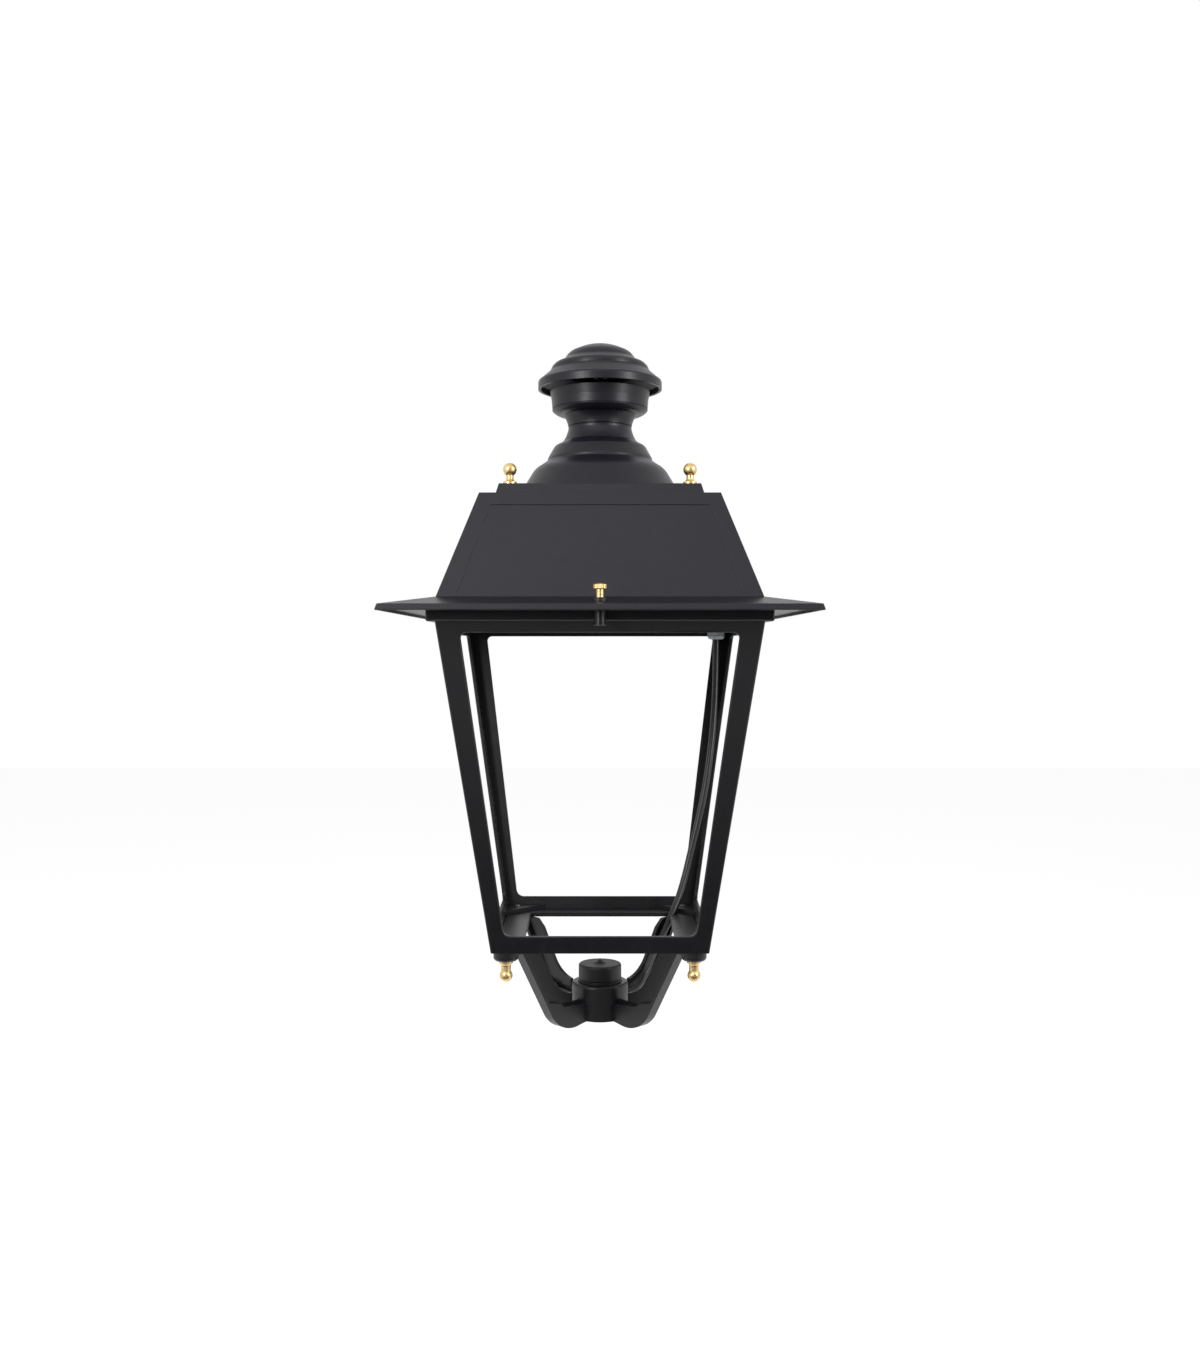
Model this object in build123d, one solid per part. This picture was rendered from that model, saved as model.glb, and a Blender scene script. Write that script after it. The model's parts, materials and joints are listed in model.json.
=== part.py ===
from build123d import *
import math
import os

# A square, open post top lantern: a tapered cage on a four-legged yoke, a hinged roof with a chimney, and
# a light unit in the roof that shines down. Millimetres, +Z up, +Y to the back. The origin is on the axis, at
# the hub's underside. A half is half the width of a square, so a square piece reaches from -half to +half.

# ---- driving dimensions ----
BRIM_HALF, LIP_LOW_Z = 213.0, 439.6
LIP_TOP_HALF, LIP_TOP_Z = 211.0, 445.8
SLOPE_LOW_HALF, SLOPE_LOW_Z = 161.1, 454.4
SLOPE_TOP_HALF, ROOF_TOP_Z = 122.1, 561.0
ROOF_WALL = 3.0

PLATE_LOW_HALF, PLATE_TOP_HALF, PLATE_TOP_Z = 107.0, 103.6, 572.7
ROOF_STUD_AT = 92.9
NECK_Z = 647.0
CUP_RIM_Z = 686.0
HAT_RIM_R, HAT_RIM_Z, HAT_TOP_Z = 67.9, 688.0, 738.2

CAGE_LOW_HALF, CAGE_LOW_Z = 111.5, 93.2
CAGE_TOP_HALF, CAGE_TOP_Z = 162.2, 430.0
CAGE_WALL = 4.0
WINDOW_LOW_HALF, WINDOW_LOW_Z = 97.7, 111.0
WINDOW_TOP_HALF, WINDOW_TOP_Z = 137.6, 419.0

CROWN_HALF, CROWN_TOP_Z, CROWN_WALL = 170.2, 446.0, 5.0
CROWN_FLANGE_HALF = 152.0
FLANGE_T = 4.0
TRAY_HALF, TRAY_T = 160.0, 2.0
TRAY_Z = CAGE_TOP_Z + FLANGE_T

BASE_PLATE_T = 4.5
BASE_PLATE_HALF = 106.6
BASE_OPENING_HALF = 80.0
POST_STUD_AT = 96.6
STUD_R, STUD_HOLE_R = 3.0, 3.3
ROOF_STUD_R = 2.5

HUB_R, HUB_STEP_Z = 28.0, 18.0
COLLAR_R, COLLAR_TOP_Z = 31.0, 39.0
SOCKET_R, SOCKET_DEPTH = 12.2, 14.0
HUB_CAVITY_R = 14.0
HUB_CHAMFER = 0.4
LEG_FLANGE_WIDTH, LEG_FLANGE_T, LEG_WEB_T = 13.0, 4.0, 4.5

SCREW_Y = -188.0
SHANK_R, HEAD_R = 3.85, 6.6
SCREW_TRAVEL = 7.2
HINGE_Y, HINGE_Z = 181.0, 438.0
HINGE_PIN_R = 2.5
HINGE_AT = (-85.0, 85.0)

CABLE_R = 3.9
LEAD_R, LEAD_HOLE_R, LEAD_HOLE_AT = 1.7, 2.3, (32.0, 438.8)
GLAND_AT = 139.7
FIT = 0.05

ROD_R = 4.0
RING_R, RING_INNER_R, RING_T, RING_Z = 4.7, 3.3, 0.8, 441.2
RING_TOP_Z = RING_Z + RING_T


# ---- shared shapes ----
def square_tower(*levels):
    """Solid through squares, each given as (half, height)."""
    return loft([Pos(0, 0, z) * Rectangle(2 * half, 2 * half) for half, z in levels], ruled=True)


def square_ring(outer, inner, low, high):
    height = high - low
    ring = Box(2 * outer, 2 * outer, height) - Box(2 * inner, 2 * inner, height)
    return Pos(0, 0, (low + high) / 2) * ring


def rod(r, low, high, x=0.0, y=0.0):
    return Pos(x, y, (low + high) / 2) * Cylinder(r, high - low)


def hexagon(across_flats, low, high):
    sketch = RegularPolygon(across_flats / 2, 6, major_radius=False)
    return Pos(0, 0, low) * extrude(sketch, high - low)


def block(x, y, z):
    """Box from three (low, high) pairs."""
    size = [high - low for low, high in (x, y, z)]
    middle = [(high + low) / 2 for low, high in (x, y, z)]
    return Pos(*middle) * Box(*size)


def outline(start, *steps):
    """Closed face. A step is the next point, or a pair of points: an arc through the first to the second."""
    edges, at = [], start
    for step in steps:
        if isinstance(step[0], tuple):
            edges.append(ThreePointArc(at, *step))
            at = step[1]
        else:
            edges.append(Line(at, step))
            at = step
    edges.append(Line(at, start))
    return make_face(Curve() + edges)


def cap(r, low, rise):
    """Arc step from (r, low) to the axis that makes a ball's cap."""
    ball_r = (r * r + rise * rise) / (2 * rise)
    drop = ball_r - math.copysign(math.sqrt(ball_r**2 - r * r / 4), rise)
    return (r / 2, low + rise - drop), (0, low + rise)


def turned(start, *steps):
    """Solid of revolution about Z from an outline in (radius, height)."""
    return revolve(Plane.XZ * outline(start, *steps), Axis.Z)


def rounded(points, radii):
    """Closed face with the corner at each point of radii rounded."""
    face = make_face(Polyline(*points, close=True))
    for point, radius in radii.items():
        corner = face.vertices().sort_by_distance(Vector(*point))[0]
        face = fillet(corner, radius)
    return face


def at_corners(shape, at):
    """One copy of a shape at each corner of a square."""
    return [Pos(x, y, 0) * shape for x in (-at, at) for y in (-at, at)]


def group(shapes):
    return Compound(children=list(shapes))


def save(name, shape):
    export_step(shape, f"parts/{name}.step")


os.makedirs("parts", exist_ok=True)


# ---- cage: posts and rails in one casting ----
CAGE_TAPER = (CAGE_TOP_HALF - CAGE_LOW_HALF) / (CAGE_TOP_Z - CAGE_LOW_Z)
WINDOW_LOW_R, WINDOW_TOP_R = 8.7, 5.5
WINDOW_CHAMFER = 1.0
POST_CORNER_R = 2.5
PLATE_Z = CAGE_LOW_Z + BASE_PLATE_T
GUSSET_T = 5.0
GUSSET_REACH = 46.4
GUSSET_TOP_Z = PLATE_Z + GUSSET_T
BASE_SCREW_R = 2.0
BASE_SCREW_TOP_Z = GUSSET_TOP_Z - 1.0
BASE_SCREWS_AT = [
    (side_x * a, side_y * b)
    for a, b in ((78.0, 100.5), (100.5, 78.0)) for side_x in (-1, 1) for side_y in (-1, 1)
]


def cage_half(z):
    return CAGE_LOW_HALF + (z - CAGE_LOW_Z) * CAGE_TAPER


def window_cut():
    low = (WINDOW_LOW_HALF, WINDOW_LOW_Z)
    high = (WINDOW_TOP_HALF, WINDOW_TOP_Z)
    points = [(-low[0], low[1]), low, high, (-high[0], high[1])]
    radii = dict(zip(points, (WINDOW_LOW_R, WINDOW_LOW_R, WINDOW_TOP_R, WINDOW_TOP_R)))
    return extrude(Plane.XZ * rounded(points, radii), 2 * CAGE_TOP_HALF, both=True)


def on_window_edge(edge):
    """Whether an edge runs round a window in the cage's outer faces."""
    c = edge.center()
    wide, near, half = max(abs(c.X), abs(c.Y)), min(abs(c.X), abs(c.Y)), cage_half(c.Z)
    return abs(wide - half) < 0.1 and near < half - 8 and CAGE_LOW_Z + 5 < c.Z < CAGE_TOP_Z - 5


def frame_casting():
    body = square_tower((CAGE_LOW_HALF, CAGE_LOW_Z), (CAGE_TOP_HALF, CAGE_TOP_Z))
    middles = [(e, e.center()) for e in body.edges()]
    hips = [e for e, c in middles if abs(abs(c.X) - abs(c.Y)) < 1 and abs(c.X) > 50]
    body = fillet(hips, POST_CORNER_R)
    low, high = CAGE_LOW_Z - 1, CAGE_TOP_Z + 1
    body -= square_tower((cage_half(low) - CAGE_WALL, low), (cage_half(high) - CAGE_WALL, high))
    window = window_cut()
    body = body - window - Rot(0, 0, 90) * window
    body = chamfer([e for e in body.edges() if on_window_edge(e)], WINDOW_CHAMFER)
    # A gusset in each corner takes the stud and two of the base plate's screws.
    inner = cage_half(PLATE_Z) - CAGE_WALL + 1.0
    corner = Polyline((0, 0), (-GUSSET_REACH, 0), (0, -GUSSET_REACH), close=True)
    gusset = Pos(inner, inner, PLATE_Z) * extrude(make_face(corner), GUSSET_T)
    for turn in range(4):
        body += Rot(0, 0, 90 * turn) * gusset
    for x, y in BASE_SCREWS_AT:
        body -= rod(BASE_SCREW_R + FIT, PLATE_Z - 1, BASE_SCREW_TOP_Z + 0.3, x, y)
    for hole in at_corners(rod(STUD_R + FIT, PLATE_Z - 1, GUSSET_TOP_Z + 1), POST_STUD_AT):
        body -= hole
    return body


save("frame_casting", frame_casting())


# ---- crown: the collar under the roof, with hinge lugs behind and the latch boss in front ----
BOSS_R, BOSS_LIP_R, BOSS_LOW_Z, BOSS_LIP_H, BOSS_TOP_Z = 5.65, 6.4, 425.6, 1.7, 440.6
BOSS_BORE_R, BOSS_FLOOR = 4.2, 4.0
KNUCKLE_R, KNUCKLE_WIDTH, KNUCKLE_GAP, LUG_WIDTH = 6.0, 22.0, 0.4, 8.0
TRAY_SCREW_R = 2.0
TRAY_SCREWS_AT = [(x, y) for x in (-155.6, 155.6) for y in (-60.0, 60.0)] + [
    (x, y) for x in (-60.0, 60.0) for y in (-155.6, 155.6)
]


def crown_ring():
    body = square_ring(CROWN_HALF, CROWN_HALF - CROWN_WALL, CAGE_TOP_Z, CROWN_TOP_Z)
    low_edges = body.edges().filter_by_position(Axis.Z, CAGE_TOP_Z - 0.01, CAGE_TOP_Z + 0.01)
    outer_low = [e for e in low_edges if max(abs(e.center().X), abs(e.center().Y)) > CROWN_HALF - 0.1]
    body = chamfer(outer_low, 1.5)
    corners = [e for e in body.edges().filter_by(Axis.Z) if abs(e.center().X) > CROWN_HALF - 0.1]
    body = fillet(corners, 2.0)
    body += square_ring(CROWN_HALF - CROWN_WALL + 1, CROWN_FLANGE_HALF, CAGE_TOP_Z, TRAY_Z)
    wall_y = CROWN_HALF - 1.0
    for x in HINGE_AT:
        for side in (-1, 1):
            middle = x + side * (KNUCKLE_WIDTH / 2 + KNUCKLE_GAP + LUG_WIDTH / 2)
            span = (middle - LUG_WIDTH / 2, middle + LUG_WIDTH / 2)
            eye = Pos(middle, HINGE_Y, HINGE_Z) * Rot(0, 90, 0) * Cylinder(KNUCKLE_R, LUG_WIDTH)
            arm = block(span, (wall_y, HINGE_Y), (HINGE_Z - KNUCKLE_R, HINGE_Z + KNUCKLE_R))
            body += eye + arm
        body -= Pos(x, HINGE_Y, HINGE_Z) * Rot(0, 90, 0) * Cylinder(HINGE_PIN_R + FIT, 60)
    boss = rod(BOSS_R, BOSS_LOW_Z, BOSS_TOP_Z, 0, SCREW_Y)
    boss += rod(BOSS_LIP_R, BOSS_LOW_Z, BOSS_LOW_Z + BOSS_LIP_H, 0, SCREW_Y)
    boss += block((-4, 4), (SCREW_Y, -wall_y), (CAGE_TOP_Z + 1, BOSS_TOP_Z - 1))
    body += boss
    body -= rod(BOSS_BORE_R, BOSS_LOW_Z + BOSS_FLOOR, BOSS_TOP_Z + 1, 0, SCREW_Y)
    for x, y in TRAY_SCREWS_AT:
        body -= rod(TRAY_SCREW_R + FIT, CAGE_TOP_Z + 0.5, TRAY_Z + 1, x, y)
    return body


save("crown_ring", crown_ring())


# ---- base plate, its screws, and the studs that clamp cage, plate and yoke ----
CABLE_NOTCH_AT, CABLE_NOTCH_R = (82.3, 73.2), 7.0
SCREW_HEAD_H = 2.0
BALL_H = 15.2
NUT_BORE_H = 13.0
NUT_AF, NUT_H = 10.0, 5.0
PAD_LOW_Z = 83.0
STUD_LOW_Z = PAD_LOW_Z - 12.0
STUD_TOP_Z = GUSSET_TOP_Z + 1.0


def base_plate():
    body = square_ring(BASE_PLATE_HALF, BASE_OPENING_HALF, CAGE_LOW_Z, PLATE_Z)
    top_edges = body.edges().filter_by_position(Axis.Z, PLATE_Z - 0.01, PLATE_Z + 0.01)
    rim = [e for e in top_edges if max(abs(e.center().X), abs(e.center().Y)) < BASE_OPENING_HALF + 0.1]
    body = chamfer(rim, 0.8)
    low, high = CAGE_LOW_Z - 1, PLATE_Z + 1
    notch_x, notch_y = CABLE_NOTCH_AT
    body -= rod(CABLE_NOTCH_R, low, high, notch_x, notch_y)
    body -= block(
        (BASE_OPENING_HALF - 4, notch_x), (notch_y - CABLE_NOTCH_R, notch_y + CABLE_NOTCH_R), (low, high)
    )
    for hole in at_corners(rod(STUD_HOLE_R, low, high), POST_STUD_AT):
        body -= hole
    for x, y in BASE_SCREWS_AT:
        body -= rod(BASE_SCREW_R + 0.2, low, high, x, y)
        body -= Pos(x, y, CAGE_LOW_Z + 1.1) * Cone(4.4, BASE_SCREW_R + 0.2, 2.4)
    return body


def countersunk_screw(r, length):
    """Screw that points up, with its flat head's face at height 0."""
    head = Pos(0, 0, SCREW_HEAD_H / 2) * Cone(2 * r, r, SCREW_HEAD_H)
    return head + rod(r, 0, length) - rod(0.9, -1, 1.2)


def ball_nut(ball_r, neck_r, seat_r, bore_r):
    """Closed ornamental nut that points up, with its seat at height 0 and a blind hole for its stud."""
    ball_low = BALL_H - math.sqrt(ball_r**2 - neck_r**2)
    waist = (neck_r + 0.3 * (seat_r - neck_r), 3.7)
    return turned(
        (bore_r, 0), (seat_r, 0), (seat_r, 2.4), (waist, (neck_r, 6.0)), (neck_r, ball_low),
        ((ball_r, BALL_H), (0, BALL_H + ball_r)), (0, NUT_BORE_H), (bore_r, NUT_BORE_H),
    )


YOKE_NUT = Pos(0, 0, PAD_LOW_Z) * Rot(180, 0, 0) * ball_nut(6.7, 5.0, 7.15, STUD_R + FIT)
save("base_plate", base_plate())
save("base_screws", group(
    Pos(x, y, CAGE_LOW_Z + 0.1) * countersunk_screw(BASE_SCREW_R, BASE_SCREW_TOP_Z - CAGE_LOW_Z - 0.1)
    for x, y in BASE_SCREWS_AT
))
save("yoke_studs", group(at_corners(rod(STUD_R, STUD_LOW_Z, STUD_TOP_Z), POST_STUD_AT)))
save("yoke_ball_nuts", group(at_corners(YOKE_NUT, POST_STUD_AT)))


# ---- yoke: four ribbed legs and the hub in one casting ----
PAD_R = 13.0
PAD_AT_R = POST_STUD_AT * math.sqrt(2)
LEG_TOP_R = 122.2
LEG_BEND = (65.5, -6.4)
LEG_BEND_R = 36.0
LEG_ROOT_R = 22.0
WEB_TOP = (101.0, CAGE_LOW_Z)
WEB_SHOULDER = (91.0, 84.3)
WEB_ELBOW, WEB_ELBOW_R = (64.0, 37.5), 40.0
WEB_END, WEB_NOTCH_Z = (44.5, 33.2), 24.0
ROOT_TOP_Z, ROOT_KNEE, ROOT_SHOULDER, ROOT_END_Z = 19.0, (60.0, 22.2), (64.6, 26.3), 30.8
POCKET = [(33.5, 19.0), (33.5, 25.0), (59.5, 24.8), (61.5, 22.0)]
POCKET_FLOOR_T = 1.5
CABLE_HOLE_Z, CABLE_HOLE_TURN, CABLE_HOLE_R = 19.6, 20.5, 5.0
LOCK_SCREW_Z, LOCK_SCREW_R = 7.0, 3.0
LOCK_SCREW_TURNS = (90.0, 180.0)


def leg():
    """One leg in the XZ plane: a wide root and flange, a thin web inside them, and the pad on top."""
    half_width = LEG_FLANGE_WIDTH / 2
    outer = [(LEG_ROOT_R, 0.0), (HUB_R, 0.0), LEG_BEND, (LEG_TOP_R, CAGE_LOW_Z)]
    slope = math.atan2(CAGE_LOW_Z - LEG_BEND[1], LEG_TOP_R - LEG_BEND[0])
    ramp = math.atan2(LEG_BEND[1], LEG_BEND[0] - HUB_R)
    across = LEG_FLANGE_T / math.sin(slope)
    middle = (slope + ramp) / 2 + math.pi / 2
    corner = LEG_FLANGE_T / math.cos((slope - ramp) / 2)
    back_bend = (LEG_BEND[0] + corner * math.cos(middle), LEG_BEND[1] + corner * math.sin(middle))
    flange = rounded(
        outer + [(LEG_TOP_R - across, CAGE_LOW_Z), back_bend, (LEG_ROOT_R, LEG_FLANGE_T)],
        {LEG_BEND: LEG_BEND_R, back_bend: LEG_BEND_R - LEG_FLANGE_T},
    )
    notch = [(WEB_END[0], WEB_NOTCH_Z), (LEG_ROOT_R, WEB_NOTCH_Z)]
    web = rounded(
        outer + [WEB_TOP, WEB_SHOULDER, WEB_ELBOW, WEB_END] + notch,
        {LEG_BEND: LEG_BEND_R, WEB_ELBOW: WEB_ELBOW_R, WEB_SHOULDER: 12.0},
    )
    root_end = (LEG_BEND[0] + (ROOT_END_Z - LEG_BEND[1]) / math.tan(slope), ROOT_END_Z)
    root = rounded(
        outer[:3] + [root_end, ROOT_SHOULDER, ROOT_KNEE, (LEG_ROOT_R, ROOT_TOP_Z)],
        {LEG_BEND: LEG_BEND_R},
    )
    pocket = rounded(POCKET, {point: 1.0 for point in POCKET})
    pocket_depth = (LEG_WEB_T - POCKET_FLOOR_T) / 2
    body = extrude(Plane.XZ * web, LEG_WEB_T / 2, both=True)
    for side in (-1, 1):
        at = side * (POCKET_FLOOR_T + pocket_depth) / 2
        body -= Pos(0, at, 0) * extrude(Plane.XZ * pocket, pocket_depth / 2, both=True)
    body += extrude(Plane.XZ * flange, half_width, both=True)
    body += extrude(Plane.XZ * root, half_width, both=True)
    foot_z = CAGE_LOW_Z - 5.5
    body += block((LEG_TOP_R - 7, PAD_AT_R), (-half_width, half_width), (foot_z, CAGE_LOW_Z))
    pad = rod(PAD_R, PAD_LOW_Z, CAGE_LOW_Z, PAD_AT_R, 0)
    pad = fillet(pad.edges().sort_by(Axis.Z)[0], 4.0)
    return body + pad


def yoke_casting():
    hub = turned(
        (SOCKET_R, 0), (HUB_R - HUB_CHAMFER, 0), (HUB_R, HUB_CHAMFER), (HUB_R, HUB_STEP_Z),
        (HUB_R - 0.8, HUB_STEP_Z), (HUB_R - 0.8, HUB_STEP_Z + 0.6),
        (COLLAR_R, HUB_STEP_Z + 0.6), (COLLAR_R, COLLAR_TOP_Z - 3),
        ((COLLAR_R - 0.9, COLLAR_TOP_Z - 0.9), (COLLAR_R - 3, COLLAR_TOP_Z)), (HUB_CAVITY_R, COLLAR_TOP_Z),
        (HUB_CAVITY_R, SOCKET_DEPTH), (SOCKET_R, SOCKET_DEPTH),
    )
    body = hub
    one = leg()
    for turn in (45, 135, 225, 315):
        body += Rot(0, 0, turn) * one
    hole = Pos(COLLAR_R / 2 + 5, 0, CABLE_HOLE_Z) * Rot(0, 90, 0) * Cylinder(CABLE_HOLE_R, COLLAR_R)
    body -= Rot(0, 0, CABLE_HOLE_TURN) * hole
    for turn in LOCK_SCREW_TURNS:
        tap = Pos(HUB_R / 2 + 4, 0, LOCK_SCREW_Z) * Rot(0, 90, 0) * Cylinder(LOCK_SCREW_R + FIT, HUB_R)
        body -= Rot(0, 0, turn) * tap
    for hole in at_corners(rod(STUD_HOLE_R, PAD_LOW_Z - 1, CAGE_LOW_Z + 1), POST_STUD_AT):
        body -= hole
    return body


def hub_cap():
    top, tip_z, r = 58.2, 62.6, 23.4
    low = COLLAR_TOP_Z
    plug_r, hollow_r = HUB_CAVITY_R - FIT, HUB_CAVITY_R - 2.5
    return turned(
        (0, tip_z), (7.7, top), (r - 2.5, top), ((r - 0.7, top - 0.7), (r, top - 2.5)), (r, low + 3),
        (r - 0.7, low + 2.4), (r - 0.7, low + 1.6), (r + 0.9, low + 1.0), (r + 0.9, low), (plug_r, low),
        (plug_r, low - 5), (hollow_r, low - 5), (hollow_r, top - 4), (0, top - 4),
    )


def lock_screw():
    """Grub screw that points to the axis from +X, with its socket outside."""
    length = 12.0
    body = Rot(0, 90, 0) * (Cylinder(LOCK_SCREW_R, length) - Pos(0, 0, length / 2 - 1.5) * Cylinder(1.6, 3.1))
    return Pos(SOCKET_R + 1.5 + length / 2, 0, LOCK_SCREW_Z) * body


save("yoke_casting", yoke_casting())
save("hub_cap", hub_cap())
save("hub_lock_screws", group(Rot(0, 0, turn) * lock_screw() for turn in LOCK_SCREW_TURNS))


# ---- gear tray and the light unit that faces down through it ----
OPTIC_OPENING_HALF = 62.0
BEZEL_HALF, BEZEL_LOW_Z, BEZEL_OPENING_HALF = 80.0, 428.0, 57.0
GASKET_T = 1.0
GLASS_HALF, GLASS_T = 63.5, 3.4
BEZEL_TOP_Z = TRAY_Z - GASKET_T
BEZEL_LIP = 1.5
SINK_HALF, SINK_FLOOR_Z, SINK_FIN_TOP_Z = 70.0, 444.0, 476.0
SINK_POCKET_HALF, SINK_POCKET_Z = 58.0, 441.5
FIN_T, FIN_COUNT = 2.0, 12
BOARD_HALF, BOARD_T = 55.0, 1.6
CHIP_T, CHIP_HALF = 0.7, 1.75
LED_PITCH, LED_ROWS = 27.0, 4
LENS_R, LENS_PLATE_T = 7.0, 1.5
TRAY_TOP_Z = TRAY_Z + TRAY_T
BOARD_Z = SINK_POCKET_Z - BOARD_T
SMALL_SCREW_R = 1.5
BEZEL_SCREWS_AT = [(x, y) for x in (-74.0, 0.0, 74.0) for y in (-74.0, 74.0)] + [(-74.0, 0.0), (74.0, 0.0)]
LED_AT = [
    ((col - (LED_ROWS - 1) / 2) * LED_PITCH, (row - (LED_ROWS - 1) / 2) * LED_PITCH)
    for col in range(LED_ROWS) for row in range(LED_ROWS)
]
DRIVER = ((-138.0, -84.0), (-66.0, 66.0), (TRAY_TOP_Z, TRAY_TOP_Z + 30.0))
DRIVER_X = (DRIVER[0][0] + DRIVER[0][1]) / 2
DRIVER_TABS_Y = (-74.0, 74.0)
DRIVER_TAB_T = 2.5
SURGE = ((90.0, 136.0), (-78.0, -44.0), (TRAY_TOP_Z, TRAY_TOP_Z + 24.0))
TERMINAL = ((88.0, 112.0), (20.0, 76.0), (TRAY_TOP_Z, TRAY_TOP_Z + 20.0))
GLAND_THREAD_R, GLAND_FLANGE_R, GLAND_BORE_R = 8.0, 10.35, 4.2


def pan_screw(r, length):
    """Screw that points down, with the underside of its head at height 0."""
    head = turned((0, 0), (1.9 * r, 0), (1.9 * r, 0.5 * r), cap(1.9 * r, 0.5 * r, 0.8 * r))
    slot = block((-0.25 * r, 0.25 * r), (-1.2 * r, 1.2 * r), (0.8 * r, 2 * r))
    return head + rod(r, -length, 0) - slot


def gear_tray():
    body = square_ring(TRAY_HALF, OPTIC_OPENING_HALF, TRAY_Z, TRAY_TOP_Z)
    for x, y in TRAY_SCREWS_AT:
        body -= rod(TRAY_SCREW_R + 0.2, TRAY_Z - 1, TRAY_TOP_Z + 1, x, y)
    for x, y in BEZEL_SCREWS_AT:
        body -= rod(SMALL_SCREW_R + FIT, TRAY_Z - 1, TRAY_TOP_Z + 1, x, y)
    for y in DRIVER_TABS_Y:
        body -= rod(SMALL_SCREW_R + FIT, TRAY_Z - 1, TRAY_TOP_Z + 1, DRIVER_X, y)
    return body - rod(GLAND_THREAD_R + 0.1, TRAY_Z - 1, TRAY_TOP_Z + 1, GLAND_AT, GLAND_AT)


def led_heatsink():
    body = square_ring(SINK_HALF, SINK_POCKET_HALF, TRAY_TOP_Z, SINK_POCKET_Z)
    body += block((-SINK_HALF, SINK_HALF), (-SINK_HALF, SINK_HALF), (SINK_POCKET_Z, SINK_FLOOR_Z))
    step = (2 * SINK_HALF - FIN_T) / (FIN_COUNT - 1)
    for i in range(FIN_COUNT):
        x = -SINK_HALF + i * step
        body += block((x, x + FIN_T), (-SINK_HALF, SINK_HALF), (SINK_FLOOR_Z, SINK_FIN_TOP_Z))
    hole_y, hole_z = LEAD_HOLE_AT
    return body - Pos(-SINK_HALF, hole_y, hole_z) * Rot(0, 90, 0) * Cylinder(LEAD_HOLE_R, SINK_HALF / 2)


def lens_array():
    plate_z = BOARD_Z - LENS_PLATE_T
    body = block((-BOARD_HALF, BOARD_HALF), (-BOARD_HALF, BOARD_HALF), (plate_z, BOARD_Z))
    dome = turned((0, plate_z + 0.2), (LENS_R, plate_z + 0.2), (LENS_R, plate_z), cap(LENS_R, plate_z, -5.0))
    for x, y in LED_AT:
        body += Pos(x, y, 0) * dome
        body -= rod(3.2, BOARD_Z - 1.0, BOARD_Z + 1, x, y)
    return body


def optic_bezel():
    body = square_ring(BEZEL_HALF, BEZEL_OPENING_HALF, BEZEL_LOW_Z, BEZEL_TOP_Z)
    low = [e for e in body.edges() if abs(e.center().Z - BEZEL_LOW_Z) < 0.01]
    body = chamfer(low, 1.0)
    body -= square_ring(GLASS_HALF + 0.3, 10, BEZEL_LOW_Z + BEZEL_LIP, BEZEL_TOP_Z + 1)
    for x, y in BEZEL_SCREWS_AT:
        body -= rod(SMALL_SCREW_R + 0.2, BEZEL_LOW_Z - 1, BEZEL_TOP_Z + 1, x, y)
        body -= rod(3.2, BEZEL_LOW_Z - 1, BEZEL_LOW_Z + 2.2, x, y)
    return body


def optic_gasket():
    body = square_ring(BEZEL_HALF - 1, OPTIC_OPENING_HALF - 1, BEZEL_TOP_Z, TRAY_Z)
    for x, y in BEZEL_SCREWS_AT:
        body -= rod(SMALL_SCREW_R + 0.2, BEZEL_TOP_Z - 1, TRAY_Z + 1, x, y)
    return body


def led_driver():
    x, y, z = DRIVER
    body = block(x, y, z)
    body = fillet(body.edges().filter_by(Axis.Z), 3.0)
    body += block((x[0] + 12, x[1] - 12), (y[0] - 14, y[1] + 14), (z[0], z[0] + DRIVER_TAB_T))
    for tab_y in DRIVER_TABS_Y:
        body -= rod(SMALL_SCREW_R + 0.2, z[0] - 1, z[0] + DRIVER_TAB_T + 1, DRIVER_X, tab_y)
    return body


def terminal_block():
    x, y, z = TERMINAL
    body = block(x, y, z) - block((x[0] + 6, x[1] - 6), (y[0] + 3, y[1] - 3), (z[1] - 5, z[1] + 1))
    cable_end = Pos((x[0] + x[1]) / 2, y[1], z[0] + 10) * Rot(90, 0, 0) * Cylinder(CABLE_R + 0.3, 10)
    return body - cable_end


def gland_body():
    low, flange_low = TRAY_Z - 16, TRAY_Z - 7
    body = rod(GLAND_THREAD_R - 1.5, low, TRAY_Z) + rod(GLAND_THREAD_R, TRAY_Z - 1, TRAY_TOP_Z + 8)
    body += rod(GLAND_FLANGE_R, flange_low, TRAY_Z)
    return Pos(GLAND_AT, GLAND_AT, 0) * (body - rod(GLAND_BORE_R, low - 1, TRAY_TOP_Z + 9))


def gland_dome_nut():
    low, high = TRAY_Z - 19, TRAY_Z - 7.3
    r, thread_r = GLAND_FLANGE_R, GLAND_THREAD_R - 1.5 + FIT
    body = turned(
        (GLAND_BORE_R, low), (r - 4, low), ((r - 1.2, low + 1.3), (r, low + 5)), (r, high),
        (thread_r, high), (thread_r, low + 2.8), (GLAND_BORE_R, low + 2.8),
    )
    groove = Pos(r + 0.35, 0, (low + 6 + high) / 2) * Cylinder(0.9, high - low - 6)
    for i in range(12):
        body -= Rot(0, 0, 30 * i) * groove
    return Pos(GLAND_AT, GLAND_AT, 0) * body


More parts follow.
